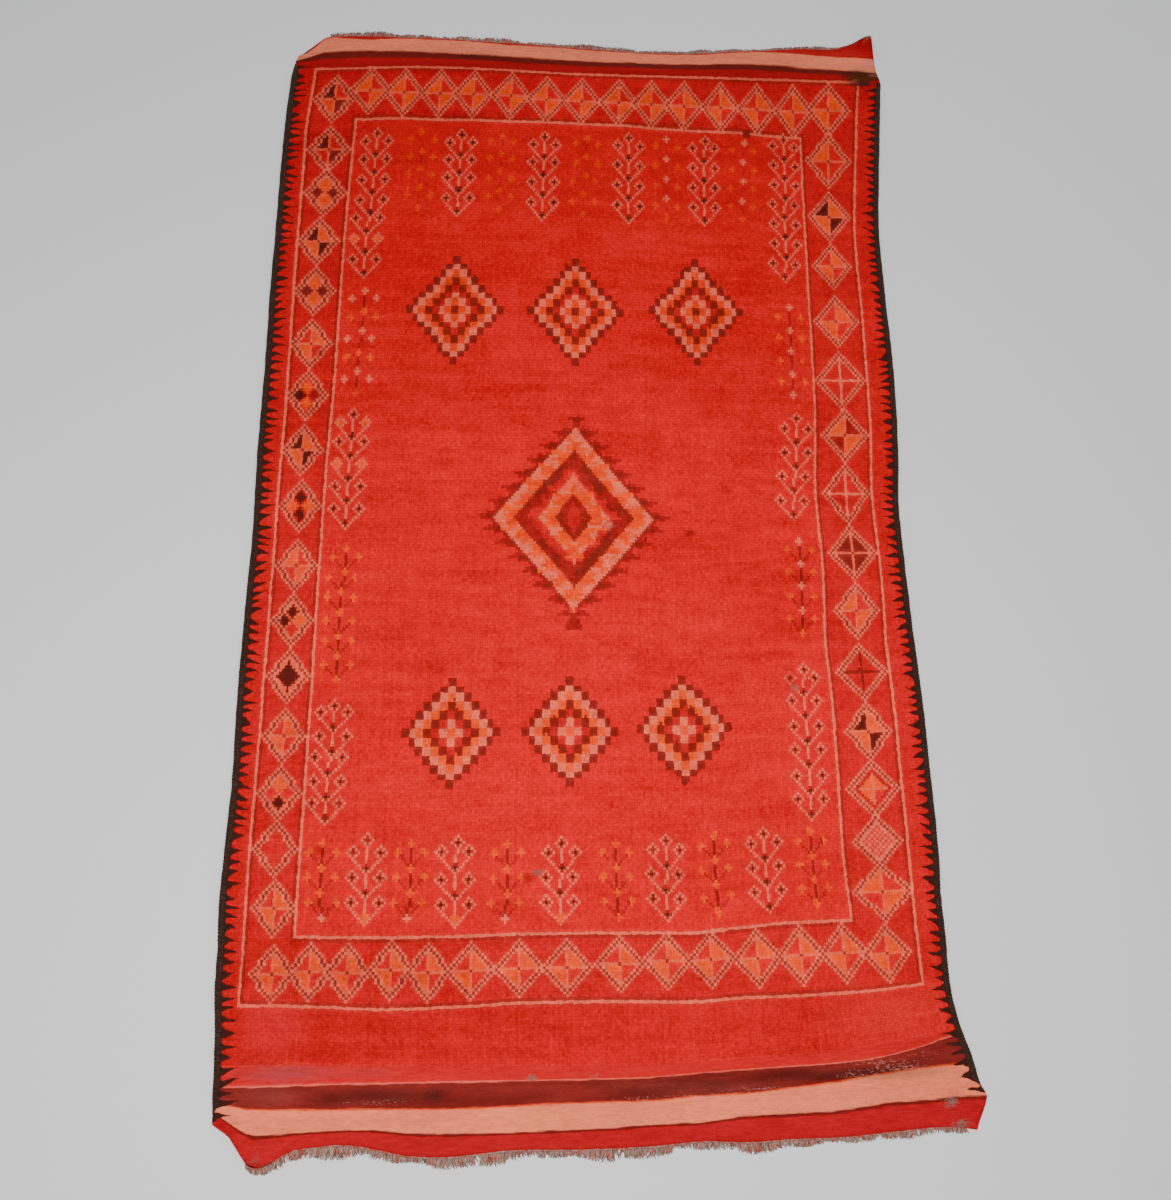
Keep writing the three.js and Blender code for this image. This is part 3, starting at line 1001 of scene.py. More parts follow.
    def tree_knot(self, tree: Tree, number: int) -> tuple[int, int]:
        """Knot on a tree's stem at a tier, 0 at the base."""
        return self.plan.knot_at(*tree.at(number / tree.tiers))

    def draw_lozenge(self, lozenge: Lozenge) -> None:
        """Knots a stepped lozenge: the ring of a block is its steps across plus its steps along."""
        rings = np.array([LETTERS[letter] for letter in lozenge.rings] + [BLANK])
        reach = round(len(lozenge.rings) * lozenge.block)
        blocks = np.abs(np.round(np.arange(-reach, reach + 1) / lozenge.block)).astype(int)
        steps = np.minimum(blocks[:, None] + blocks[None, :], len(lozenge.rings))
        self.stamp(rings[steps], *self.plan.knot_at(lozenge.x, lozenge.y))

    def colours(self) -> Array:
        """Linear colour of each knot: dye, run a little into its neighbours, shade with a painted light
        fall-off, wear and stains.
        """
        rng = np.random.default_rng(self.seed)
        shape = self.dyes.shape
        dyes = self.dyes.copy()
        kept = np.isin(dyes, (dye_number(Dye.PALE), dye_number(Dye.SALMON)))
        strayed = (rng.random(shape) < self.strays) & ~kept & ~np.roll(kept, 1, 0)
        dyes[1:][strayed[1:]] = self.dyes[:-1][strayed[1:]]
        colour = np.array([dye.colour for dye in DYES])[dyes]
        near_wool = (np.roll(colour, 1, 0) + np.roll(colour, -1, 0)) / 2
        beside_wool = (np.roll(colour, 1, 1) + np.roll(colour, -1, 1)) / 2
        neighbours = near_wool * self.near_share + beside_wool * (1 - self.near_share)
        colour = colour * (1 - self.blend) + neighbours * self.blend
        along = (np.arange(shape[0]) / shape[0])[:, None]
        across = (np.arange(shape[1]) / shape[1])[None, :]
        colour = colour * np.clip(self.light(along, across, rng), 0.4, 1.3)[..., None]
        colour = colour + self.worn(along, across, rng)[..., None] * np.array(self.worn_gain)
        rows, columns = np.mgrid[0:shape[0], 0:shape[1]]
        x, y = self.plan.place(columns + 0.5, rows + 0.5)
        ragged = 1 + self.stain_raggedness * patches(shape, (2, 2), rng)
        for stain in self.stains:
            cover = np.clip(stain.cover(x, y) * ragged, 0, 1)[..., None]
            colour = colour * (1 - cover) + np.array(stain.colour) * cover
        return colour

    def light(self, along: Array, across: Array, rng: Draws) -> Array:
        """Shade of each knot round 1: speckle, mottles, streaks that fade up the rug, and a painted light
        fall-off.

        The painted light rises from the near end towards the middle, falls towards the far end and is dimmer
        at the left edge. along and across are the shares of the way, one for each row and column of knots.
        """
        shape = self.dyes.shape
        light = 1 + self.speckle * rng.standard_normal(shape)
        for mottle in self.mottles:
            light += mottle.amount * patches(shape, (mottle.rows, mottle.columns), rng)
        light += self.streaks * rng.standard_normal((1, shape[1])) * (1 - 0.8 * along)
        # Painted light: brighter towards the middle, darker towards the far end and at the left edge
        rise = self.middle_gain * smoothstep(0.0, 0.35, along)
        fall = self.painted_far_loss * smoothstep(0.45, 1.0, along)
        light *= self.painted_near_light + rise - fall
        light *= self.painted_left_light + (1 - self.painted_left_light) * smoothstep(0.0, 0.5, across)
        return light

    def worn(self, along: Array, across: Array, rng: Draws) -> Array:
        """Share of wear of each knot: wide and fine patches, more to the right and near, times wear."""
        shape = self.dyes.shape
        worn = 0.35 + 0.6 * patches(shape, (9, 14), rng) + 0.4 * patches(shape, (2, 3), rng)
        worn += 0.4 * across - 0.5 * (along - 0.3)
        return np.clip(worn, 0, 1) * self.wear


class NodeSheet:
    """Adds nodes to one node tree and links them."""

    def __init__(self, tree: NodeTree) -> None:
        """Takes the tree to add to."""
        self.tree = tree

    def add(self, kind: str, values: dict[Any, Any] | None = None, **settings: Any) -> Node:
        """Adds a node.

        Args:
            kind: Blender's name of the node.
            values: by socket name or number, a plain value or the output socket to link.
            settings: the node's own properties.

        Returns:
            The new node.
        """
        node = self.tree.nodes.new(kind)
        for name, value in settings.items():
            setattr(node, name, value)
        for socket, value in (values or {}).items():
            if isinstance(value, Socket):
                self.tree.links.new(value, node.inputs[socket])
            else:
                node.inputs[socket].default_value = value
        return node

    def link(self, value: Socket, node: Node, socket: str) -> None:
        """Links an output socket to a node's input."""
        self.tree.links.new(value, node.inputs[socket])

    def group(self, tree: NodeTree, values: dict[str, Any]) -> Node:
        """Adds a node group."""
        return self.add("ShaderNodeGroup", values, node_tree=tree)

    def place(self) -> Socket:
        """Object coordinates."""
        return self.add("ShaderNodeTexCoord").outputs["Object"]

    def attribute(self, name: str, output: str = "Fac") -> Socket:
        """A mesh attribute as a value, colour or vector."""
        return self.add("ShaderNodeAttribute", attribute_name=name).outputs[output]

    def math(self, operation: str, *values: Any) -> Socket:
        """Output of a Math node on up to three values."""
        return self.add("ShaderNodeMath", dict(enumerate(values)), operation=operation).outputs[0]

    def mix(self, share: Any, first: Any, second: Any, blend: str = "MIX") -> Socket:
        """Colour output of a Mix node between two colours."""
        values = {0: share, 6: first, 7: second}
        return self.add("ShaderNodeMix", values, data_type="RGBA", blend_type=blend).outputs[2]

    def shade(self, colour: Any, value: Any) -> Socket:
        """Colour multiplied by a value."""
        grey = self.add("ShaderNodeCombineXYZ", {0: value, 1: value, 2: value}).outputs[0]
        return self.mix(1.0, colour, grey, "MULTIPLY")

    def noise(self, vector: Any, scale: float, detail: float = 2.0) -> Socket:
        """Value output of a Noise Texture."""
        values = {"Vector": vector, "Scale": scale, "Detail": detail}
        return self.add("ShaderNodeTexNoise", values).outputs[0]

    def stretch(self, vector: Any, scale: Colour) -> Socket:
        """Vector scaled along its axes by a Mapping node."""
        return self.add("ShaderNodeMapping", {"Vector": vector, "Scale": scale}).outputs[0]

    def fit(self, value: Any, low: float, high: float, to: tuple[float, float]) -> Socket:
        """Value mapped from one range to another, held within it."""
        values = {0: value, 1: low, 2: high, 3: to[0], 4: to[1]}
        return self.add("ShaderNodeMapRange", values).outputs[0]


def rgba(colour: Colour) -> tuple[float, float, float, float]:
    """Adds full alpha to a colour."""
    return (*colour, 1.0)


class Port(NamedTuple):
    """A socket of a node group."""

    name: str
    kind: str
    value: float | None = None


def new_group(
    name: str, inputs: tuple[Port, ...], outputs: tuple[Port, ...]
) -> tuple[NodeTree, NodeSheet, Any, Any]:
    """Starts a shader node group.

    Args:
        name: its name.
        inputs: its input sockets.
        outputs: its output sockets.

    Returns:
        The group, a sheet to add nodes with, and its input and output nodes.
    """
    group = bpy.data.node_groups.new(name, "ShaderNodeTree")
    for direction, ports in (("INPUT", inputs), ("OUTPUT", outputs)):
        for port in ports:
            socket = group.interface.new_socket(name=port.name, in_out=direction, socket_type=port.kind)
            if port.value is not None:
                socket.default_value = port.value
    sheet = NodeSheet(group)
    return group, sheet, sheet.add("NodeGroupInput"), sheet.add("NodeGroupOutput")


FLOAT, COLOUR, VECTOR = "NodeSocketFloat", "NodeSocketColor", "NodeSocketVector"


def wool_fibres_group() -> NodeTree:
    """Group that mottles a wool colour by its fibres and gives their height.

    Light and dark fibres are fine noise drawn out along the strands, over coarser clumps.
    """
    group, sheet, given, result = new_group(
        "Wool fibres",
        (Port("Colour", COLOUR), Port("Vector", VECTOR), Port("Strength", FLOAT, 1.0)),
        (Port("Colour", COLOUR), Port("Height", FLOAT)),
    )
    vector = given.outputs["Vector"]
    fine, clumps = sheet.noise(vector, 900.0, 3.0), sheet.noise(vector, 190.0, 2.0)
    height = sheet.math("ADD", sheet.math("MULTIPLY", fine, 0.5), sheet.math("MULTIPLY", clumps, 0.5))
    spread = sheet.fit(height, 0.3, 0.7, (-0.28, 0.28))
    bright = sheet.math("MULTIPLY_ADD", spread, given.outputs["Strength"], 1.0)
    sheet.link(sheet.shade(given.outputs["Colour"], bright), result, "Colour")
    sheet.link(height, result, "Height")
    return group


def knot_relief_group() -> NodeTree:
    """Group that gives the height of tied knots: a round hump for each whole column and row."""
    group, sheet, given, result = new_group(
        "Knot relief", (Port("Knots", VECTOR),), (Port("Height", FLOAT),)
    )
    parts = sheet.add("ShaderNodeSeparateXYZ", {0: given.outputs["Knots"]})
    humps = []
    for axis in range(2):
        turned = sheet.math("MULTIPLY", parts.outputs[axis], math.pi)
        humps.append(sheet.math("ABSOLUTE", sheet.math("SINE", turned)))
    round_hump = sheet.math("POWER", sheet.math("MULTIPLY", *humps), 0.6)
    sheet.link(round_hump, result, "Height")
    return group


def side_teeth_group() -> NodeTree:
    """Group that marks the goat-hair teeth that reach from the side bindings into the cloth.

    A place is on a tooth where its distance from the edge is less than the depth times a triangle wave
    along the rug, sharpened by a power. Depth, wave and outline are made uneven by noise.
    """
    inputs = (Port("Edge", FLOAT), Port("Vector", VECTOR), Port("Depth", FLOAT), Port("Pitch", FLOAT, 23.5))
    group, sheet, given, result = new_group("Side teeth", inputs, (Port("Mask", FLOAT),))
    vector = given.outputs["Vector"]
    parts = sheet.add("ShaderNodeSeparateXYZ", {0: vector})
    along = sheet.math("MULTIPLY", parts.outputs[1], 1000.0)
    wander = sheet.fit(sheet.noise(vector, 14.0, 1.0), 0.3, 0.7, (-9.0, 9.0))
    turns = sheet.math("DIVIDE", sheet.math("ADD", along, wander), given.outputs["Pitch"])
    wave = sheet.math("MULTIPLY", sheet.math("PINGPONG", turns, 0.5), 2.0)
    spike = sheet.math("MULTIPLY_ADD", sheet.math("POWER", wave, 1.35), 1.2, -0.2)
    uneven = sheet.fit(sheet.noise(vector, 48.0, 0.0), 0.3, 0.7, (0.7, 1.2))
    fringe = sheet.fit(sheet.noise(vector, 460.0, 3.0), 0.3, 0.7, (-4.2, 4.2))
    depth = sheet.math("MULTIPLY", sheet.math("MULTIPLY", given.outputs["Depth"], uneven), spike)
    over = sheet.math("SUBTRACT", sheet.math("ADD", depth, fringe), given.outputs["Edge"])
    sheet.link(sheet.fit(over, -1.6, 2.0, (0.0, 1.0)), result, "Mask")
    return group


@dataclass(frozen=True)
class SharedEffects:
    """The node groups that more than one finish uses."""

    wool_fibres: NodeTree
    knot_relief: NodeTree
    side_teeth: NodeTree

    @classmethod
    def build(cls) -> "SharedEffects":
        """Makes each group once."""
        return cls(wool_fibres_group(), knot_relief_group(), side_teeth_group())


class Pattern(NamedTuple):
    """What a finish adds to plain wool: its colour, where its fibres are looked up, and its relief."""

    colour: Any
    fibres_at: Any
    relief: Any = None


@dataclass(frozen=True)
class WoolFinish:
    """What all finishes of the rug share: matt fibres with a slight sheen, over a pattern of their own."""

    name: str
    roughness: float = 0.92
    specular: float = 0.02
    sheen: float = 0.015
    sheen_roughness: float = 0.45
    bump_strength: float = 0.8
    bump_height: float = 0.0009
    fibre_strength: float = 1.0

    def build(self, effects: SharedEffects) -> bpy.types.Material:
        """Builds the material: its pattern's colour mottled by fibres, and both their heights as bumps."""
        material = bpy.data.materials.new(self.name)
        material.use_nodes = True
        sheet = NodeSheet(material.node_tree)
        surface = material.node_tree.nodes["Principled BSDF"]
        surface.inputs["Roughness"].default_value = self.roughness
        surface.inputs["Sheen Weight"].default_value = self.sheen
        surface.inputs["Sheen Roughness"].default_value = self.sheen_roughness
        surface.inputs["Specular IOR Level"].default_value = self.specular
        colour, fibres_at, relief = self.pattern(sheet, effects, sheet.place())
        given = {"Colour": colour, "Vector": fibres_at, "Strength": self.fibre_strength}
        fibres = sheet.group(effects.wool_fibres, given)
        height = fibres.outputs["Height"]
        if relief is not None:
            height = sheet.math("ADD", height, relief)
        values = {"Height": height, "Strength": self.bump_strength, "Distance": self.bump_height}
        sheet.link(fibres.outputs["Colour"], surface, "Base Color")
        sheet.link(sheet.add("ShaderNodeBump", values).outputs[0], surface, "Normal")
        return material

    def pattern(self, sheet: NodeSheet, effects: SharedEffects, place: Socket) -> Pattern:
        """The finish's own pattern, which each kind of finish gives."""
        raise NotImplementedError


GOAT_HAIR: Colour = (0.036, 0.016, 0.011)
TOOTH_HAIR: Colour = (0.050, 0.012, 0.009)


@dataclass(frozen=True)
class ClothFinish(WoolFinish):
    """Wool of the cloth, with the dark teeth of the bindings at its sides."""

    teeth_depth: float = 29.0

    def toothed(self, sheet: NodeSheet, effects: SharedEffects, place: Socket, colour: Any) -> Socket:
        """A colour with the teeth over it."""
        given = {"Edge": sheet.attribute("edge"), "Vector": place, "Depth": self.teeth_depth}
        teeth = sheet.group(effects.side_teeth, given).outputs[0]
        return sheet.mix(teeth, colour, rgba(TOOTH_HAIR))


@dataclass(frozen=True)
class PileFinish(ClothFinish):
    """Knotted wool pile: each knot's own colour, with painted shade in the grooves between the knots."""

    painted_groove_shade: tuple[float, float] = (0.87, 1.02)
    knot_height: float = 0.9

    def pattern(self, sheet: NodeSheet, effects: SharedEffects, place: Socket) -> Pattern:
        """Reads the cloth's wool, knots and edge attributes."""
        wool = sheet.attribute("wool", "Color")
        knots = sheet.group(effects.knot_relief, {"Knots": sheet.attribute("knots", "Vector")}).outputs[0]
        # Painted shade: each knot's colour darkened in the grooves between the knots
        knotted = sheet.shade(wool, sheet.fit(knots, 0.0, 0.7, self.painted_groove_shade))
        dressed = self.toothed(sheet, effects, place, knotted)
        return Pattern(dressed, place, sheet.math("MULTIPLY", knots, self.knot_height))


class Band(NamedTuple):
    """A woven band of an end: where it starts and stops in the band count, and its wool."""

    start: float
    stop: float
    colour: Colour


@dataclass(frozen=True)
class FlatweaveFinish(ClothFinish):
    """Flatwoven ends: bands across the rug, thin lines between them, weft ribs and worn patches."""

    ramp_length: float = 16.0
    soft: float = 0.012
    teeth_depth: float = 38.0
    wander: tuple[float, float] = (-0.035, 0.035)
    wander_scale: Colour = (30.0, 160.0, 30.0)
    weft_shade: tuple[float, float] = (0.84, 1.12)
    weft_scale: Colour = (22.0, 420.0, 22.0)
    stain_grain: float = 300.0
    stain_raggedness: tuple[float, float] = (-0.55, 0.42)
    fibre_strength: float = 0.7
    ribs_per_metre: float = 62.0
    rib_height: float = 0.7
    bands: tuple[Band, ...] = table_of(
        Band,
        (0.0, 0.945, (0.62, 0.012, 0.014)), (0.945, 1.045, (0.9, 0.11, 0.075)),
        (1.045, 1.97, (0.2, 0.017, 0.014)), (1.97, 2.05, (0.75, 0.05, 0.01)),
        (2.05, 2.95, (0.96, 0.2, 0.1)), (2.95, 3.08, (0.17, 0.012, 0.01)),
        (3.08, 6.0, (0.47, 0.008, 0.013)), (6.0, 10.68, (0.36, 0.008, 0.01)),
        (10.68, 11.12, (0.14, 0.012, 0.009)), (11.14, 11.98, (0.8, 0.185, 0.095)),
        (11.98, 16.0, (0.4, 0.012, 0.013)),
    )

    def pattern(self, sheet: NodeSheet, effects: SharedEffects, place: Socket) -> Pattern:
        """Reads the cloth's band, tone, edge and stain attributes."""
        long_noise = sheet.noise(sheet.stretch(place, self.wander_scale), 1.0, 3.0)
        wander = sheet.fit(long_noise, 0.25, 0.75, self.wander)
        count = sheet.math("ADD", sheet.attribute("band"), wander)
        ramp = sheet.add("ShaderNodeValToRGB", {0: sheet.math("DIVIDE", count, self.ramp_length)})
        self.set_bands(ramp.color_ramp)
        toned = sheet.mix(1.0, ramp.outputs[0], sheet.attribute("tone", "Color"), "MULTIPLY")
        wefts = sheet.noise(sheet.stretch(place, self.weft_scale), 1.0, 3.0)
        woven = sheet.shade(toned, sheet.fit(wefts, 0.25, 0.75, self.weft_shade))
        grain = sheet.noise(sheet.stretch(place, (0.5, 1.0, 1.0)), self.stain_grain, 3.0)
        ragged = sheet.fit(grain, 0.3, 0.7, self.stain_raggedness)
        stained = sheet.fit(sheet.math("ADD", sheet.attribute("stain"), ragged), 0.35, 0.95, (0.0, 1.0))
        worn = sheet.mix(stained, woven, sheet.attribute("stain_colour", "Color"))
        dressed = self.toothed(sheet, effects, place, worn)
        wave = {"Scale": self.ribs_per_metre, "Distortion": 1.2, "Detail": 2.0, "Detail Scale": 2.0}
        ribs = sheet.add("ShaderNodeTexWave", {"Vector": place} | wave, bands_direction="X").outputs[1]
        along = sheet.stretch(place, (0.35, 1.0, 1.0))
        return Pattern(dressed, along, sheet.math("MULTIPLY", ribs, self.rib_height))

    def set_bands(self, ramp: bpy.types.ColorRamp) -> None:
        """Gives the ramp two stops for each band, a little inside its two edges."""
        stops: list[tuple[float, Colour]] = []
        for band in self.bands:
            stops.append((band.start + self.soft, band.colour))
            stops.append((band.stop - self.soft, band.colour))
        while len(ramp.elements) < len(stops):
            ramp.elements.new(1.0)
        for element, (place, colour) in zip(ramp.elements, stops):
            element.position = min(place / self.ramp_length, 1.0)
            element.color = rgba(colour)


@dataclass(frozen=True)
class GoatHairFinish(WoolFinish):
    """Coarse dark brown goat hair with a few lighter hairs."""

    base: Colour = GOAT_HAIR
    light_hair: Colour = (0.105, 0.052, 0.034)
    hair_scale: Colour = (90.0, 900.0, 300.0)
    light_share: float = 0.8
    fibre_strength: float = 1.4

    def pattern(self, sheet: NodeSheet, effects: SharedEffects, place: Socket) -> Pattern:
        """Draws hairs out across the binding."""
        hairs = sheet.noise(sheet.stretch(place, self.hair_scale), 1.0, 4.0)
        share = sheet.fit(hairs, 0.52, 0.72, (0.0, self.light_share))
        hair = sheet.mix(share, rgba(self.base), rgba(self.light_hair))
        return Pattern(hair, place, hairs)


@dataclass(frozen=True)
class FrayedFinish(WoolFinish):
    """Frayed yarn: each yarn's own colour with fine fibres."""

    fibre_strength: float = 1.2

    def pattern(self, sheet: NodeSheet, effects: SharedEffects, place: Socket) -> Pattern:
        """Reads the yarns' colour attribute."""
        return Pattern(sheet.attribute("yarn", "Color"), place)


def new_piece(name: str, points: Array, faces: list[Array]) -> Piece:
    """Makes a mesh object, with its place in its mesh.

    Args:
        name: the piece's name.
        points: vertices in millimetres of the plan.
        faces: groups of faces, each an array of one row of vertex numbers for each face.

    Returns:
        The object, linked to the scene.
    """
    mesh = bpy.data.meshes.new(name)
    corners = np.concatenate([group.ravel() for group in faces]).astype(np.int32)
    counts = np.concatenate([np.full(len(group), group.shape[1]) for group in faces])
    starts = np.concatenate([[0], np.cumsum(counts)[:-1]]).astype(np.int32)
    mesh.vertices.add(len(points))
    mesh.vertices.foreach_set("co", ((points + PLAN_IN_FRAME) * MM).astype(np.float32).ravel())
    mesh.loops.add(len(corners))
    mesh.loops.foreach_set("vertex_index", corners)
    mesh.polygons.add(len(counts))
    mesh.polygons.foreach_set("loop_start", starts)
    mesh.polygons.foreach_set("use_smooth", np.ones(len(counts), bool))
    mesh.update(calc_edges=True)
    mesh.validate()
    piece = bpy.data.objects.new(name, mesh)
    bpy.context.scene.collection.objects.link(piece)
    return piece


def set_attribute(piece: Piece, name: str, kind: str, domain: str, values: Array) -> None:
    """Writes one attribute of a piece's mesh.

    Args:
        piece: the piece.
        name: the attribute's name.
        kind: FLOAT, FLOAT_VECTOR or FLOAT_COLOR.
        domain: POINT or FACE.
        values: one row for each point or face.
    """
    made = piece.data.attributes.new(name, kind, domain)
    key = {"FLOAT": "value", "FLOAT_VECTOR": "vector", "FLOAT_COLOR": "color"}[kind]
    if kind == "FLOAT_COLOR":
        values = np.concatenate([values, np.ones((len(values), 1))], axis=1)
    made.data.foreach_set(key, values.astype(np.float32).ravel())


def triangle_count(piece: Piece) -> int:
    """Triangles of a piece's mesh."""
    piece.data.calc_loop_triangles()
    return len(piece.data.loop_triangles)


def grid_quads(numbers: Array) -> Array:
    """Quads between neighbours in grids of vertex numbers, facing up when rows and columns rise."""
    a, b = numbers[..., :-1, :-1], numbers[..., :-1, 1:]
    c, d = numbers[..., 1:, 1:], numbers[..., 1:, :-1]
    return np.stack([a, b, c, d], axis=-1).reshape(-1, 4)


def tube_faces(numbers: Array, turned: bool) -> list[Array]:
    """Faces of a closed tube: quads round it and a cap on each end.

    Args:
        numbers: grid of vertex numbers, one row for each section.
        turned: whether the faces are turned over.

    Returns:
        The groups of faces.
    """
    ring = np.concatenate([numbers, numbers[:, :1]], axis=1)
    groups = [grid_quads(ring), numbers[:1], numbers[-1:, ::-1]]
    return [group[:, ::-1] for group in groups] if turned else groups


@dataclass
class RugCloth:
    """The cloth: one closed mesh with a quad for each knot, in one with coarser flatwoven ends."""

    plan: RugPlan
    relief: Relief
    chart: KnotChart
    name: str = "woven_cloth"
    seed: int = 23
    knots_per_end_step: int = 2
    under_columns: int = 6
    under_rows: int = 16
    under_end_rows: int = 4
    wander: float = 0.8
    lumps: float = 0.45
    fine_lumps: float = 0.16
    rim_knots: float = 1.5
    rim_fall: float = 0.22
    teeth_from: tuple[float, float] = (-1335.0, -1312.0)
    teeth_short_of_end: float = 8.0
    toothless: float = 99.0
    edge_of_underside: float = 999.0
    dark_band_patches: float = 0.26
    patches: float = 0.08
    tints: tuple[Stain, ...] = table_of(
        Stain,
        (-670, -1242, 95, 15, 0.9, (0.66, 3.4, 3.2)), (-500, -1244, 60, 10, 0.6, (0.75, 2.6, 2.5)),
        (-480, -1290, 120, 15, 0.8, (0.42, 0.65, 0.65)),
        (-600, -1296, 50, 14, 0.5, (0.5, 0.65, 0.65)), (-360, -1290, 24, 14, 0.7, (0.35, 0.6, 0.6)),
        (-700, -1285, 60, 18, 0.5, (1.1, 2.2, 2.2)), (180, -1285, 180, 14, 0.5, (0.7, 1.6, 1.5)),
        (560, -1264, 200, 13, 0.7, (0.36, 0.7, 0.7)), (-790, -1345, 24, 30, 0.5, (0.6, 0.8, 0.8)),
        (-300, 1333, 80, 7, 0.5, (0.5, 0.7, 0.7)), (768, 1326, 56, 22, 1.0, (0.22, 0.8, 0.8)),
        (800, 1436, 62, 40, 1.0, (0.8, 0.05, 0.2)), (800, 1372, 30, 12, 0.7, (0.95, 0.85, 1.7)),
        (-120, -1340, 130, 20, 0.5, (0.96, 1.15, 0.85)),
    )
    end_stains: tuple[Stain, ...] = table_of(
        Stain,
        (-160, -1260, 14, 8, 1.0, DIRT), (-25, -1258, 9, 6, 0.9, DIRT),
        (-450, -1288, 60, 12, 0.42, SOOT), (745, -1325, 20, 16, 1.0, DIRT),
        # The spots at (745, -1325) and (765, -1372) are painted shade in two small holes of the cloth, not
        # dirt
        (765, -1372, 24, 12, 1.0, DIRT), (640, -1254, 90, 9, 0.56, WORN),
        (545, -1268, 70, 7, 0.52, WORN), (330, -1292, 90, 7, 0.46, WORN),
        (190, -1303, 80, 6, 0.44, WORN), (70, -1306, 60, 6, 0.44, WORN),
        (-480, -1303, 70, 6, 0.40, WORN), (768, 1322, 62, 24, 1.0, (0.08, 0.02, 0.006)),
        (745, 1312, 14, 9, 1.0, (0.2, 0.075, 0.035)), (800, 1334, 16, 12, 0.8, (0.24, 0.095, 0.05)),
        (752, 1432, 34, 5, 1.0, (0.26, 0.085, 0.05)), (795, 1446, 26, 6, 1.0, (0.34, 0.12, 0.07)),
        (600, -1242, 110, 9, 0.42, WORN), (705, -1226, 44, 7, 0.36, WORN),
        (-722, -1404, 10, 26, 0.8, (0.16, 0.07, 0.05)), (-700, -1418, 30, 7, 0.9, (0.16, 0.07, 0.05)),
        (150, 1331, 30, 7, 0.9, SOOT), (-300, 1333, 60, 7, 0.7, SOOT),
    )

    def build(self) -> Piece:
        """Builds the cloth and its attributes.

        Returns:
            The closed mesh object, with slot 0 for pile faces and slot 1 for flatwoven faces.
        """
        plan = self.plan
        rng = np.random.default_rng(self.seed)
        coarse = np.arange(0, plan.columns + 1, self.knots_per_end_step)
        near = self.grid(np.arange(-plan.near_rows, 0), coarse)
        knots = self.grid(np.arange(plan.rows + 1), np.arange(plan.columns + 1))
        far = self.grid(plan.rows + 1 + np.arange(plan.far_rows), coarse)
        parts = (near, knots, far)
        tops = [self.surface(part, rng) for part in parts]
        starts = np.cumsum([0] + [part[0].size for part in parts])
        near_ids, knot_ids, far_ids = numbers = tuple(
            start + np.arange(part[0].size).reshape(part[0].shape) for start, part in zip(starts, parts)
        )
        pile_faces = grid_quads(knot_ids)
        step_faces = self.step_faces(near_ids[-1], knot_ids[0], knot_ids[-1], far_ids[0])
        under, under_faces, walls = self.underside(parts, numbers, int(starts[-1]))
        flats = [grid_quads(near_ids), grid_quads(far_ids), *step_faces, under_faces]
        piece = new_piece(self.name, np.concatenate([*tops, under]), [pile_faces, *flats, *walls])
        self.add_attributes(piece, parts, len(pile_faces))
        return piece

    def grid(self, rows: Array, columns: Array) -> Array:
        """Plan places with their columns and rows: x, y, column and row, each a grid."""
        column, row = np.meshgrid(columns.astype(float), rows.astype(float))
        x, y = self.plan.place(column, row)
        return np.stack([x, y, column, row])

    def surface(self, part: Array, rng: Draws) -> Array:
        """Points of the upper face: lift, thickness, swells and small lumps, with wandering knots.

        Args:
            part: x, y, column and row grids.
            rng: source of the wandering.

        Returns:
            One row of three for each point.
        """
        x, y, column, row = part
        pile = (row >= 0) & (row <= self.plan.rows)
        shape = x.shape
        lumps = patches(shape, (3, 4), rng) + 0.6 * patches(shape, (9, 12), rng)
        fine = self.fine_lumps * rng.standard_normal(shape)
        uneven = self.relief.swell(x, y) + self.lumps * lumps + fine
        edge = np.minimum.reduce([column, self.plan.columns - column, row, self.plan.rows - row])
        rounded = 1 - self.rim_fall * np.clip(1 - edge / self.rim_knots, 0, 1)
        height = np.where(pile, self.relief.pile * rounded + uneven, self.relief.flatweave + 0.25 * fine)
        inner = (column > 0) & (column < self.plan.columns)
        drift = self.wander * rng.standard_normal((2, *shape)) * inner * pile
        z = self.relief.lift(x, y) + height
        return np.stack([x + drift[0], y + drift[1], z], axis=-1).reshape(-1, 3)

    def step_faces(
        self, near: Array, first: Array, last: Array, far: Array
    ) -> list[Array]:
        """Faces that join a flatwoven row to the finer first or last row of knots.

        Args:
            near: vertex numbers of the near end's last row.
            first: those of the first row of knots.
            last: those of the last row of knots.
            far: those of the far end's first row.

        Returns:
            Two groups of five-cornered faces.
        """
        step = self.knots_per_end_step
        half = step // 2
        near_side = [near[:-1], near[1:], first[step::step], first[half::step], first[:-1:step]]
        far_side = [last[:-1:step], last[half::step], last[step::step], far[1:], far[:-1]]
        return [np.stack(near_side, axis=-1), np.stack(far_side, axis=-1)]

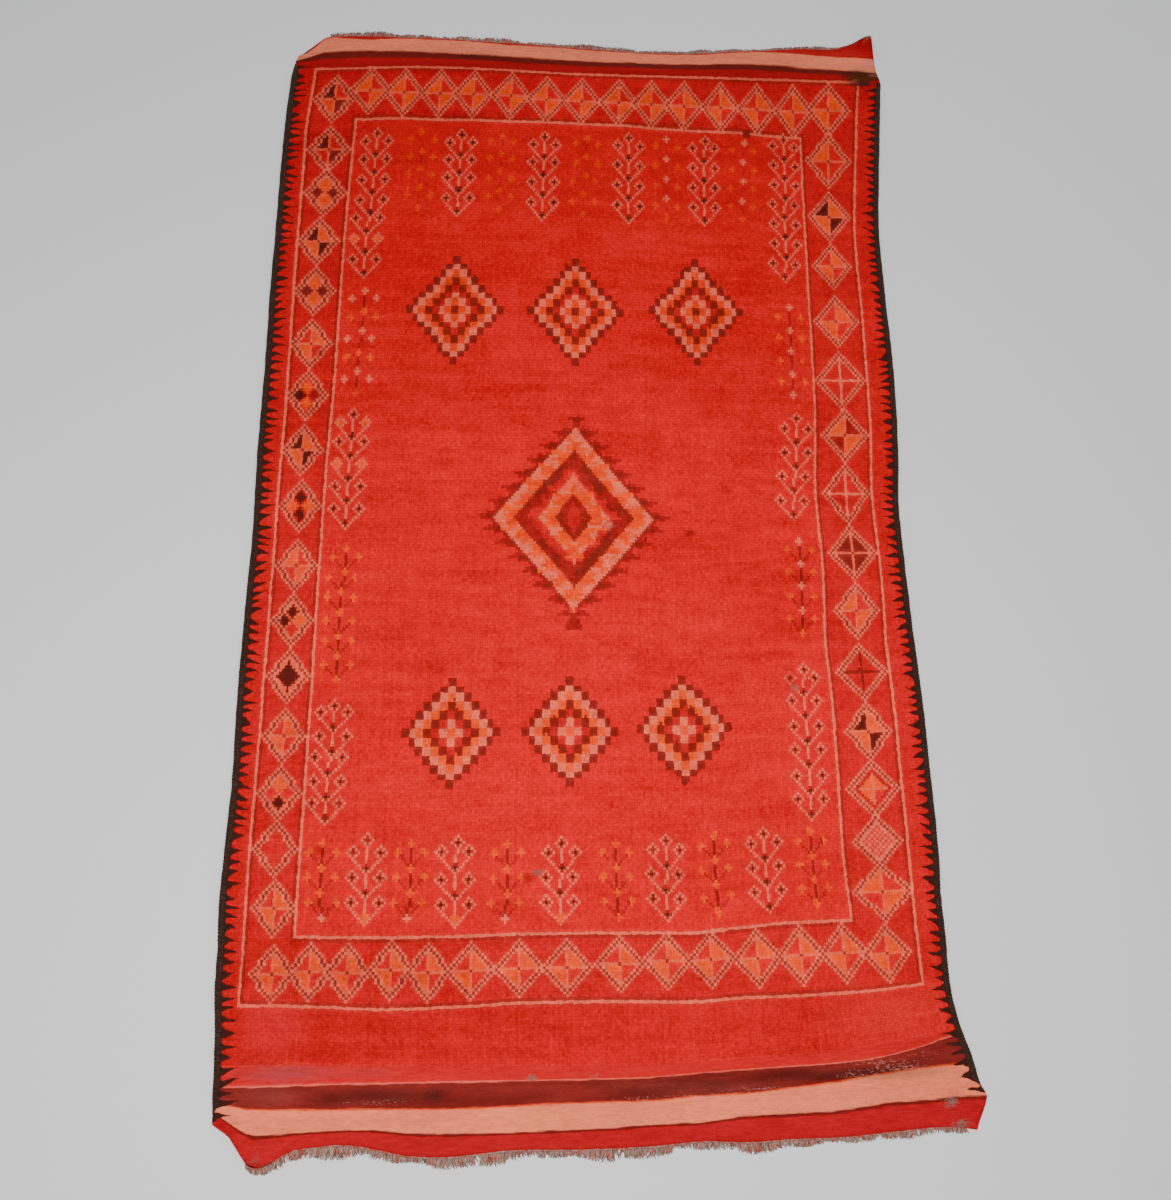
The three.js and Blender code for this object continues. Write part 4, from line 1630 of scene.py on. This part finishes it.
    def underside(
        self, parts: tuple[Array, ...], numbers: tuple[Array, ...], first: int
    ) -> tuple[Array, Array, list[Array]]:
        """The underside, a coarse grid at the cloth's lift, and the walls that join it to the upper rim.

        Args:
            parts: the near, knotted and far grids.
            numbers: their vertex numbers.
            first: number of the underside's first vertex.

        Returns:
            Its points, its faces and the groups of wall faces.
        """
        plan = self.plan
        near, knots, far = parts
        near_rows = np.arange(0, near.shape[1], self.under_end_rows)
        knot_rows = np.arange(0, knots.shape[1], self.under_rows)
        far_rows = np.arange(far.shape[1] - 1, -1, -self.under_end_rows)[::-1]
        rows = np.concatenate([near[3, near_rows, 0], knots[3, knot_rows, 0], far[3, far_rows, 0]])
        columns = np.arange(0, plan.columns + 1, self.under_columns)
        column, row = np.meshgrid(columns.astype(float), rows)
        x, y = plan.place(column, row)
        points = np.stack([x, y, self.relief.lift(x, y)], axis=-1).reshape(-1, 3)
        ids = first + np.arange(x.size).reshape(x.shape)
        faces = grid_quads(ids)[:, ::-1]
        sides = [np.concatenate([part[:, side] for part in numbers]) for side in (0, -1)]
        all_rows = np.concatenate([part[3, :, 0] for part in parts])
        walls = []
        for right, (top, below) in enumerate(zip(sides, (ids[:, 0], ids[:, -1]))):
            for start in range(len(rows) - 1):
                above = np.flatnonzero((all_rows >= rows[start]) & (all_rows <= rows[start + 1]))
                walls.append(self.wall(below[start:start + 2], top[above], bool(right)))
        per_step = self.under_columns // self.knots_per_end_step
        for top, below, turned in ((numbers[0][0], ids[0], False), (numbers[2][-1], ids[-1], True)):
            for start in range(len(columns) - 1):
                above = top[start * per_step:(start + 1) * per_step + 1]
                walls.append(self.wall(below[start:start + 2], above, turned))
        return points, faces, walls

    @staticmethod
    def wall(below: Array, above: Array, turned: bool) -> Array:
        """One wall face from an edge of the underside up to the points of the rim above it."""
        ring = np.concatenate([below, above[::-1]])
        return (ring[::-1] if turned else ring)[None]

    def add_attributes(self, piece: Piece, parts: tuple[Array, ...], pile: int) -> None:
        """Writes which faces are pile, and what the finishes read.

        Args:
            piece: the cloth.
            parts: the near, knotted and far grids.
            pile: number of pile faces, which come first.
        """
        total = len(piece.data.polygons)
        wool = np.tile(np.array(Dye.BORDER.colour), (total, 1))
        wool[:pile] = self.chart.colours().reshape(-1, 3)
        set_attribute(piece, "wool", "FLOAT_COLOR", "FACE", wool)
        slots = (np.arange(total) >= pile).astype(np.int32)
        piece.data.polygons.foreach_set("material_index", slots)
        x, y, column, row = np.concatenate([part.reshape(4, -1) for part in parts], axis=1)
        knots = np.stack([column, row, np.zeros_like(row)], axis=-1)
        amount, stain = self.stained(x, y)
        self.write(piece, "knots", "FLOAT_VECTOR", knots, 0.0)
        self.write(piece, "edge", "FLOAT", self.tooth_distance(x, y), self.edge_of_underside)
        self.write(piece, "band", "FLOAT", self.band(row), 0.5)
        self.write(piece, "stain", "FLOAT", amount, 0.0)
        self.write(piece, "stain_colour", "FLOAT_COLOR", stain, DIRT)
        self.write(piece, "tone", "FLOAT_COLOR", self.tone(parts, x, y), 1.0)

    @staticmethod
    def write(piece: Piece, name: str, kind: str, values: Array, under: Any) -> None:
        """Writes a point attribute of the upper face, with one value for the whole underside."""
        spare = (len(piece.data.vertices) - len(values), *values.shape[1:])
        rest = np.broadcast_to(np.asarray(under, float), spare)
        set_attribute(piece, name, kind, "POINT", np.concatenate([values, rest]))

    def tooth_distance(self, x: Array, y: Array) -> Array:
        """Distance from the nearer side edge, or far off where a side has no teeth."""
        distance = np.minimum(x - self.plan.edge(Side.LEFT, y), self.plan.edge(Side.RIGHT, y) - x)
        right = (x > 0).astype(int)
        stops = np.array([self.plan.left_binding.stop, self.plan.right_binding.stop])
        below = y < np.array(self.teeth_from)[right]
        beyond = y > stops[right] - self.teeth_short_of_end
        return np.where(below | beyond, self.toothless, distance)

    def stained(self, x: Array, y: Array) -> tuple[Array, Array]:
        """Amount and colour of the strongest stain at each place."""
        amount = np.zeros(len(x))
        colour = np.tile(np.array(DIRT), (len(x), 1))
        for stain in self.end_stains:
            cover = stain.cover(x, y)
            colour[cover > amount] = stain.colour
            amount = np.maximum(amount, cover)
        return amount, colour

    def tone(self, parts: tuple[Array, ...], x: Array, y: Array) -> Array:
        """Uneven shade of the flatwoven ends, times their tints.

        Args:
            parts: the near, knotted and far grids.
            x, y: plan places of their points.

        Returns:
            A colour factor for each point: 1 plus patches drawn out across the rug, which are
            stronger in the dark band, times each tint by its cover.
        """
        rng = np.random.default_rng(self.seed + 1)
        shades = []
        for part in parts:
            shape = part.shape[1:]
            uneven = patches(shape, (3, 12), rng) + 0.7 * patches(shape, (1.5, 5), rng)
            band = self.band(part[3])
            strength = np.where((band > 1) & (band < 2), self.dark_band_patches, self.patches)
            shades.append((1 + strength * uneven).ravel())
        tone = np.repeat(np.concatenate(shades)[:, None], 3, axis=1)
        for tint in self.tints:
            share = np.clip(tint.cover(x, y), 0, 1)[:, None]
            tone *= 1 - share + share * np.array(tint.colour)
        return tone

    def band(self, row: Array) -> Array:
        """Band count of a row: whole numbers on the woven lines.

        It rises from 0 at the near pile outwards, and from 10 at the far pile outwards.
        """
        plan = self.plan
        lines = [plan.dark_line_row, plan.orange_line_row, plan.pale_line_row]
        near = np.interp(row, [-plan.near_rows, *lines, 0], [4, 3, 2, 1, 0])
        far_lines = [0, plan.far_dark_rows, plan.far_pink_rows, plan.far_rows]
        far = np.interp(row - plan.rows, far_lines, [10, 11, 12, 13])
        return np.where(row > plan.rows / 2, far, near)


@dataclass
class SideBinding:
    """A long side overcast in goat hair: a bar with slanted wraps along the cloth's edge."""

    plan: RugPlan
    side: Side
    height: float = 9.5
    station: float = 1.25
    end_margin: float = 2.0
    section_points: int = 10
    wrap_pitch: float = 7.0
    wrap_depth: float = 0.13
    wrap_wander: float = 0.35
    slant: float = 0.55
    uneven: float = 0.05
    seed: int = 31

    def build(self) -> Piece:
        """Carries a round-topped section along the edge, its size rising and falling with each wrap.

        The section runs over the top from the inner to the outer foot: out is half of 1 minus a blunted
        cosine, up is a blunted sine. Each wrap is a half wave along the edge that lags across the section.
        """
        plan, right = self.plan, self.side is Side.RIGHT
        start, stop = plan.binding(self.side)
        y = np.arange(start + self.end_margin, stop - self.end_margin, self.station)[:, None]
        t = np.linspace(0, 1, self.section_points)[None, :]
        rng = np.random.default_rng(self.seed + right)
        wander = patches((len(y), 1), (24, 1), rng)
        lag = self.slant * t + self.wrap_wander * wander
        wrap = np.abs(np.sin(np.pi * (y / self.wrap_pitch + lag)))
        size = 1 - self.wrap_depth * (1 - wrap) + self.uneven * patches((len(y), 1), (11, 1), rng)
        cosine, sine = np.cos(np.pi * t), np.sin(np.pi * t)
        out = 0.5 - 0.5 * np.sign(cosine) * np.abs(cosine) ** 0.55 * np.where(cosine < 0, size, 1)
        up = np.abs(sine) ** 0.5 * size
        fullness = plan.binding_fullness(self.side, y)
        width = plan.binding_width * fullness * (1 - 0.03 * (1 + wander))
        x = plan.edge(self.side, y) + (1 if right else -1) * (plan.gap + out * width)
        z = np.clip(up * self.height * 0.97 * np.sqrt(fullness), 0, self.height)
        points = np.stack(np.broadcast_arrays(x, y, z), axis=-1).reshape(-1, 3)
        numbers = np.arange(len(points)).reshape(len(y), self.section_points)
        return new_piece(f"goat_hair_binding_{self.side.value}", points, tube_faces(numbers, right))


@dataclass
class FrayedEnd:
    """Frayed warps of one end: a worn strip of last wefts, and loose yarns that lie on the floor from it."""

    plan: RugPlan
    end: End
    start: float
    stop: float
    yarns: int
    shortest: float
    longest: float
    seed: int
    strip_width: float = 6.5
    strip_height: float = 2.9
    strip_station: float = 3.0
    yarn_points: int = 5
    yarn_sides: int = 4
    yarns_in_tuft: int = 9
    tuft_spread: float = 6.0
    lean: float = 0.35
    curl: tuple[float, float] = (0.3, 1.6)
    curl_turns: float = 5.0
    rise: float = 0.9
    taper: float = 0.55
    furthest: float = 1438.0
    shorter_right: float = 0.4
    thickness: tuple[float, float] = (0.8, 1.7)
    colours: tuple[Colour, ...] = (
        (0.3, 0.19, 0.15),
        (0.22, 0.12, 0.09),
        (0.42, 0.28, 0.22),
        (0.42, 0.06, 0.045),
        (0.13, 0.06, 0.045),
    )
    shares: tuple[float, ...] = (0.32, 0.22, 0.20, 0.18, 0.08)
    strip_shares: tuple[float, ...] = (0.3, 0.15, 0.15, 0.4)

    def build(self) -> Piece:
        """Builds the strip and all yarns as one mesh, with a colour for each yarn."""
        rng = np.random.default_rng(self.seed)
        strip_points, strip_faces = self.strip(rng)
        yarn_points, yarn_faces, yarn_colours = self.loose_yarns(rng)
        offset = len(strip_points)
        points = np.concatenate([strip_points, yarn_points])
        faces = [*strip_faces, *(group + offset for group in yarn_faces)]
        piece = new_piece(f"frayed_warps_{self.end.value}", points, faces)
        strip_colours = np.array(self.colours)[rng.choice(4, offset, p=self.strip_shares)]
        set_attribute(piece, "yarn", "FLOAT_COLOR", "POINT", np.concatenate([strip_colours, yarn_colours]))
        return piece

    def outward(self) -> int:
        """Which way along the rug the yarns point."""
        return -1 if self.end is End.NEAR else 1

    def edge_y(self, x: Array) -> Array:
        """Last weft at x."""
        return read_curve(ENDS, self.end.value, x)

    def strip(self, rng: Draws) -> tuple[Array, list[Array]]:
        """The strip of last wefts: a low ragged bar whose outer edge wanders.

        Returns:
            Its points and groups of faces.
        """
        x = np.arange(self.start, self.stop, self.strip_station)[:, None]
        across = np.array([[0.0, 0.0, 0.55, 1.0, 1.0]])
        up = np.array([[0.0, 0.96, 1.0, 0.55, 0.0]])
        ragged = 0.72 + 0.28 * patches((len(x), 1), (2, 1), rng) * (across > 0.9)
        y = self.edge_y(x) + self.outward() * (self.plan.gap + across * self.strip_width * ragged)
        z = up * self.strip_height * (0.9 + 0.1 * patches((len(x), 1), (3, 1), rng))
        points = np.stack(np.broadcast_arrays(x, y, z), axis=-1).reshape(-1, 3)
        numbers = np.arange(len(points)).reshape(len(x), across.shape[1])
        return points, tube_faces(numbers, self.end is End.FAR)

    def loose_yarns(self, rng: Draws) -> tuple[Array, list[Array], Array]:
        """Thin curved tubes with pointed ends.

        A yarn leaves the strip straight, then leans and curls: its place across is its root plus the lean
        times its run squared plus a sine wave. Yarns stand in tufts, longer in some places than in others.

        Returns:
            Points, groups of faces and a colour for each point.
        """
        count, stations, sides = self.yarns, self.yarn_points, self.yarn_sides
        each = (count, 1)
        tufts = rng.uniform(self.start, self.stop, count // self.yarns_in_tuft)
        root_x = rng.choice(tufts, each) + rng.normal(0, self.tuft_spread, each)
        root_x = np.clip(root_x, self.start + 2, self.stop - 2)
        waves = 0.5 + 0.34 * np.sin(2 * np.pi * 3.3 * root_x * MM + 0.9)
        waves += 0.22 * np.sin(2 * np.pi * 9.1 * root_x * MM + 2.2)
        fullness = np.clip((waves + rng.random(each)) / 2, 0, 1) ** 1.6
        length = self.shortest + (self.longest - self.shortest) * fullness
        length *= 1 - self.shorter_right * smoothstep(100, 650, root_x)
        radius = rng.uniform(*self.thickness, each)
        lean = rng.normal(0, self.lean, each) * length
        curl = rng.uniform(*self.curl, each)
        phase = rng.uniform(0, 2 * np.pi, each)
        run = np.linspace(0, 1, stations)[None, :]
        path_x = root_x + lean * run**2 + curl * np.sin(self.curl_turns * run + phase) * run
        start_y = self.edge_y(root_x) + self.outward() * (self.plan.gap + self.strip_width * 0.55)
        path_y = np.clip(start_y + self.outward() * length * run, -self.furthest, self.furthest)
        arch = self.rise * np.sin(np.pi * run) * rng.random(each)
        thin = radius * (1 - self.taper * run**2)
        path_z = thin + arch + self.rise * (1 - run) ** 2
        angle = np.linspace(0, 2 * np.pi, sides, endpoint=False)[None, None, :]
        x = path_x[..., None] + thin[..., None] * np.cos(angle)
        z = path_z[..., None] + thin[..., None] * np.sin(angle)
        y = np.broadcast_to(path_y[..., None], x.shape)
        points = np.stack([x, y, z], axis=-1).reshape(-1, 3)
        numbers = np.arange(count * stations * sides).reshape(count, stations, sides)
        ring = np.concatenate([numbers, numbers[..., :1]], axis=-1)
        groups = [grid_quads(ring), numbers[:, 0, ::-1], numbers[:, -1, :]]
        if self.end is End.FAR:
            groups = [group[:, ::-1] for group in groups]
        which = rng.choice(len(self.colours), count, p=np.array(self.shares))
        colour = np.array(self.colours)[which] * rng.uniform(0.8, 1.25, each)
        return points, groups, np.repeat(colour, stations * sides, axis=0)


@dataclass(frozen=True)
class Studio:
    """Camera, lights and floor."""

    image_width: int = 1171
    image_height: int = 1200
    focal_pixels: float = 1300.0
    sensor: float = 36.0
    camera_place: Colour = (-0.3046, -1.1291, 2.917)
    camera_right: Colour = (0.996, -0.015, 0.091)
    camera_up: Colour = (-0.013, 0.954, 0.301)
    floor_size: float = 60.0
    floor_drop: float = 0.0006
    floor_colour: Colour = (0.8, 0.79, 0.77)
    key_place: Colour = (-0.55, -1.5, 3.3)
    key_aim: Colour = (0.0, -0.1, 0.0)
    key_size: float = 1.6
    key_power: float = 118.0
    fill_place: Colour = (1.6, 2.4, 3.4)
    fill_size: float = 3.0
    fill_power: float = 32.0
    surround: Colour = (0.9, 0.93, 1.0)
    surround_strength: float = 0.48

    def build(self) -> None:
        """Sets the whole studio up."""
        self.add_camera()
        self.add_floor()
        self.add_light("key", self.key_place, self.key_size, self.key_power)
        self.add_light("fill", self.fill_place, self.fill_size, self.fill_power)
        self.add_surround()

    def add_camera(self) -> None:
        """Camera at the photograph's place, its long side as the sensor's width."""
        data = bpy.data.cameras.new("camera")
        longest = max(self.image_width, self.image_height)
        data.sensor_width = self.sensor
        data.lens = self.sensor * self.focal_pixels / longest
        camera = bpy.data.objects.new("camera", data)
        right = Vector(self.camera_right).normalized()
        up = Vector(self.camera_up)
        back = right.cross(up).normalized()
        up = back.cross(right)
        turn = Matrix((right, up, back)).transposed()
        camera.matrix_world = Matrix.Translation(self.camera_place) @ turn.to_4x4()
        bpy.context.scene.collection.objects.link(camera)
        bpy.context.scene.camera = camera

    def add_floor(self) -> None:
        """Plain pale floor under the rug."""
        half = self.floor_size / 2
        mesh = bpy.data.meshes.new("floor")
        corners = [(-half, -half), (half, -half), (half, half), (-half, half)]
        mesh.from_pydata([(x, y, -self.floor_drop) for x, y in corners], [], [(0, 1, 2, 3)])
        floor = bpy.data.objects.new("floor", mesh)
        bpy.context.scene.collection.objects.link(floor)
        material = bpy.data.materials.new("pale floor")
        material.use_nodes = True
        surface = material.node_tree.nodes["Principled BSDF"]
        surface.inputs["Base Color"].default_value = rgba(self.floor_colour)
        surface.inputs["Roughness"].default_value = 0.9
        surface.inputs["Specular IOR Level"].default_value = 0.1
        mesh.materials.append(material)

    def add_light(self, name: str, place: Colour, size: float, power: float) -> None:
        """Adds a square soft light that faces the middle of the rug."""
        data = bpy.data.lights.new(name, "AREA")
        data.size = size
        data.energy = power
        light = bpy.data.objects.new(name, data)
        light.location = place
        light.rotation_euler = (Vector(self.key_aim) - Vector(place)).to_track_quat("-Z", "Y").to_euler()
        bpy.context.scene.collection.objects.link(light)

    def add_surround(self) -> None:
        """Even light from all round."""
        world = bpy.data.worlds.new("surround")
        world.use_nodes = True
        background = world.node_tree.nodes["Background"]
        background.inputs["Color"].default_value = rgba(self.surround)
        background.inputs["Strength"].default_value = self.surround_strength
        bpy.context.scene.world = world


@dataclass
class Rug:
    """The whole rug: builds each piece, gives it its finish and ties it to the frame."""

    plan: RugPlan = field(default_factory=RugPlan)
    relief: Relief = field(default_factory=Relief)
    flat_size: tuple[float, float] = (1.60, 2.70)

    def build(self) -> None:
        effects = SharedEffects.build()
        cloth = RugCloth(self.plan, self.relief, KnotChart(self.plan)).build()
        self.dress(cloth, "rug_cloth", PileFinish("knotted wool").build(effects))
        cloth.data.materials.append(FlatweaveFinish("flatwoven wool", bump_height=0.0006).build(effects))
        goat_hair = GoatHairFinish("goat hair", sheen=0.1, bump_height=0.0012).build(effects)
        for side in Side:
            binding = SideBinding(self.plan, side).build()
            self.dress(binding, f"binding_{side.value}", goat_hair)
        frayed = FrayedFinish("frayed warps", bump_height=0.0004).build(effects)
        ends = (
            FrayedEnd(self.plan, End.NEAR, -742, 778, yarns=3600, shortest=3, longest=26, seed=11),
            FrayedEnd(self.plan, End.FAR, -690, 745, yarns=2400, shortest=2, longest=17, seed=47),
        )
        for end in ends:
            warps = end.build()
            self.dress(warps, f"fringe_{end.end.value}", frayed)

    def dress(self, piece: Piece, node: str, material: bpy.types.Material) -> None:
        """Gives a piece its finish, its body and the node that it stands for."""
        piece.data.materials.append(material)
        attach(piece, BODY)
        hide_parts(node)
        log.info("%s: %d triangles", piece.name, triangle_count(piece))


def main() -> None:
    """Sets up the studio and builds the rug."""
    logging.basicConfig(level=logging.INFO)
    Studio().build()
    Rug().build()


if __name__ == "__main__":
    main()
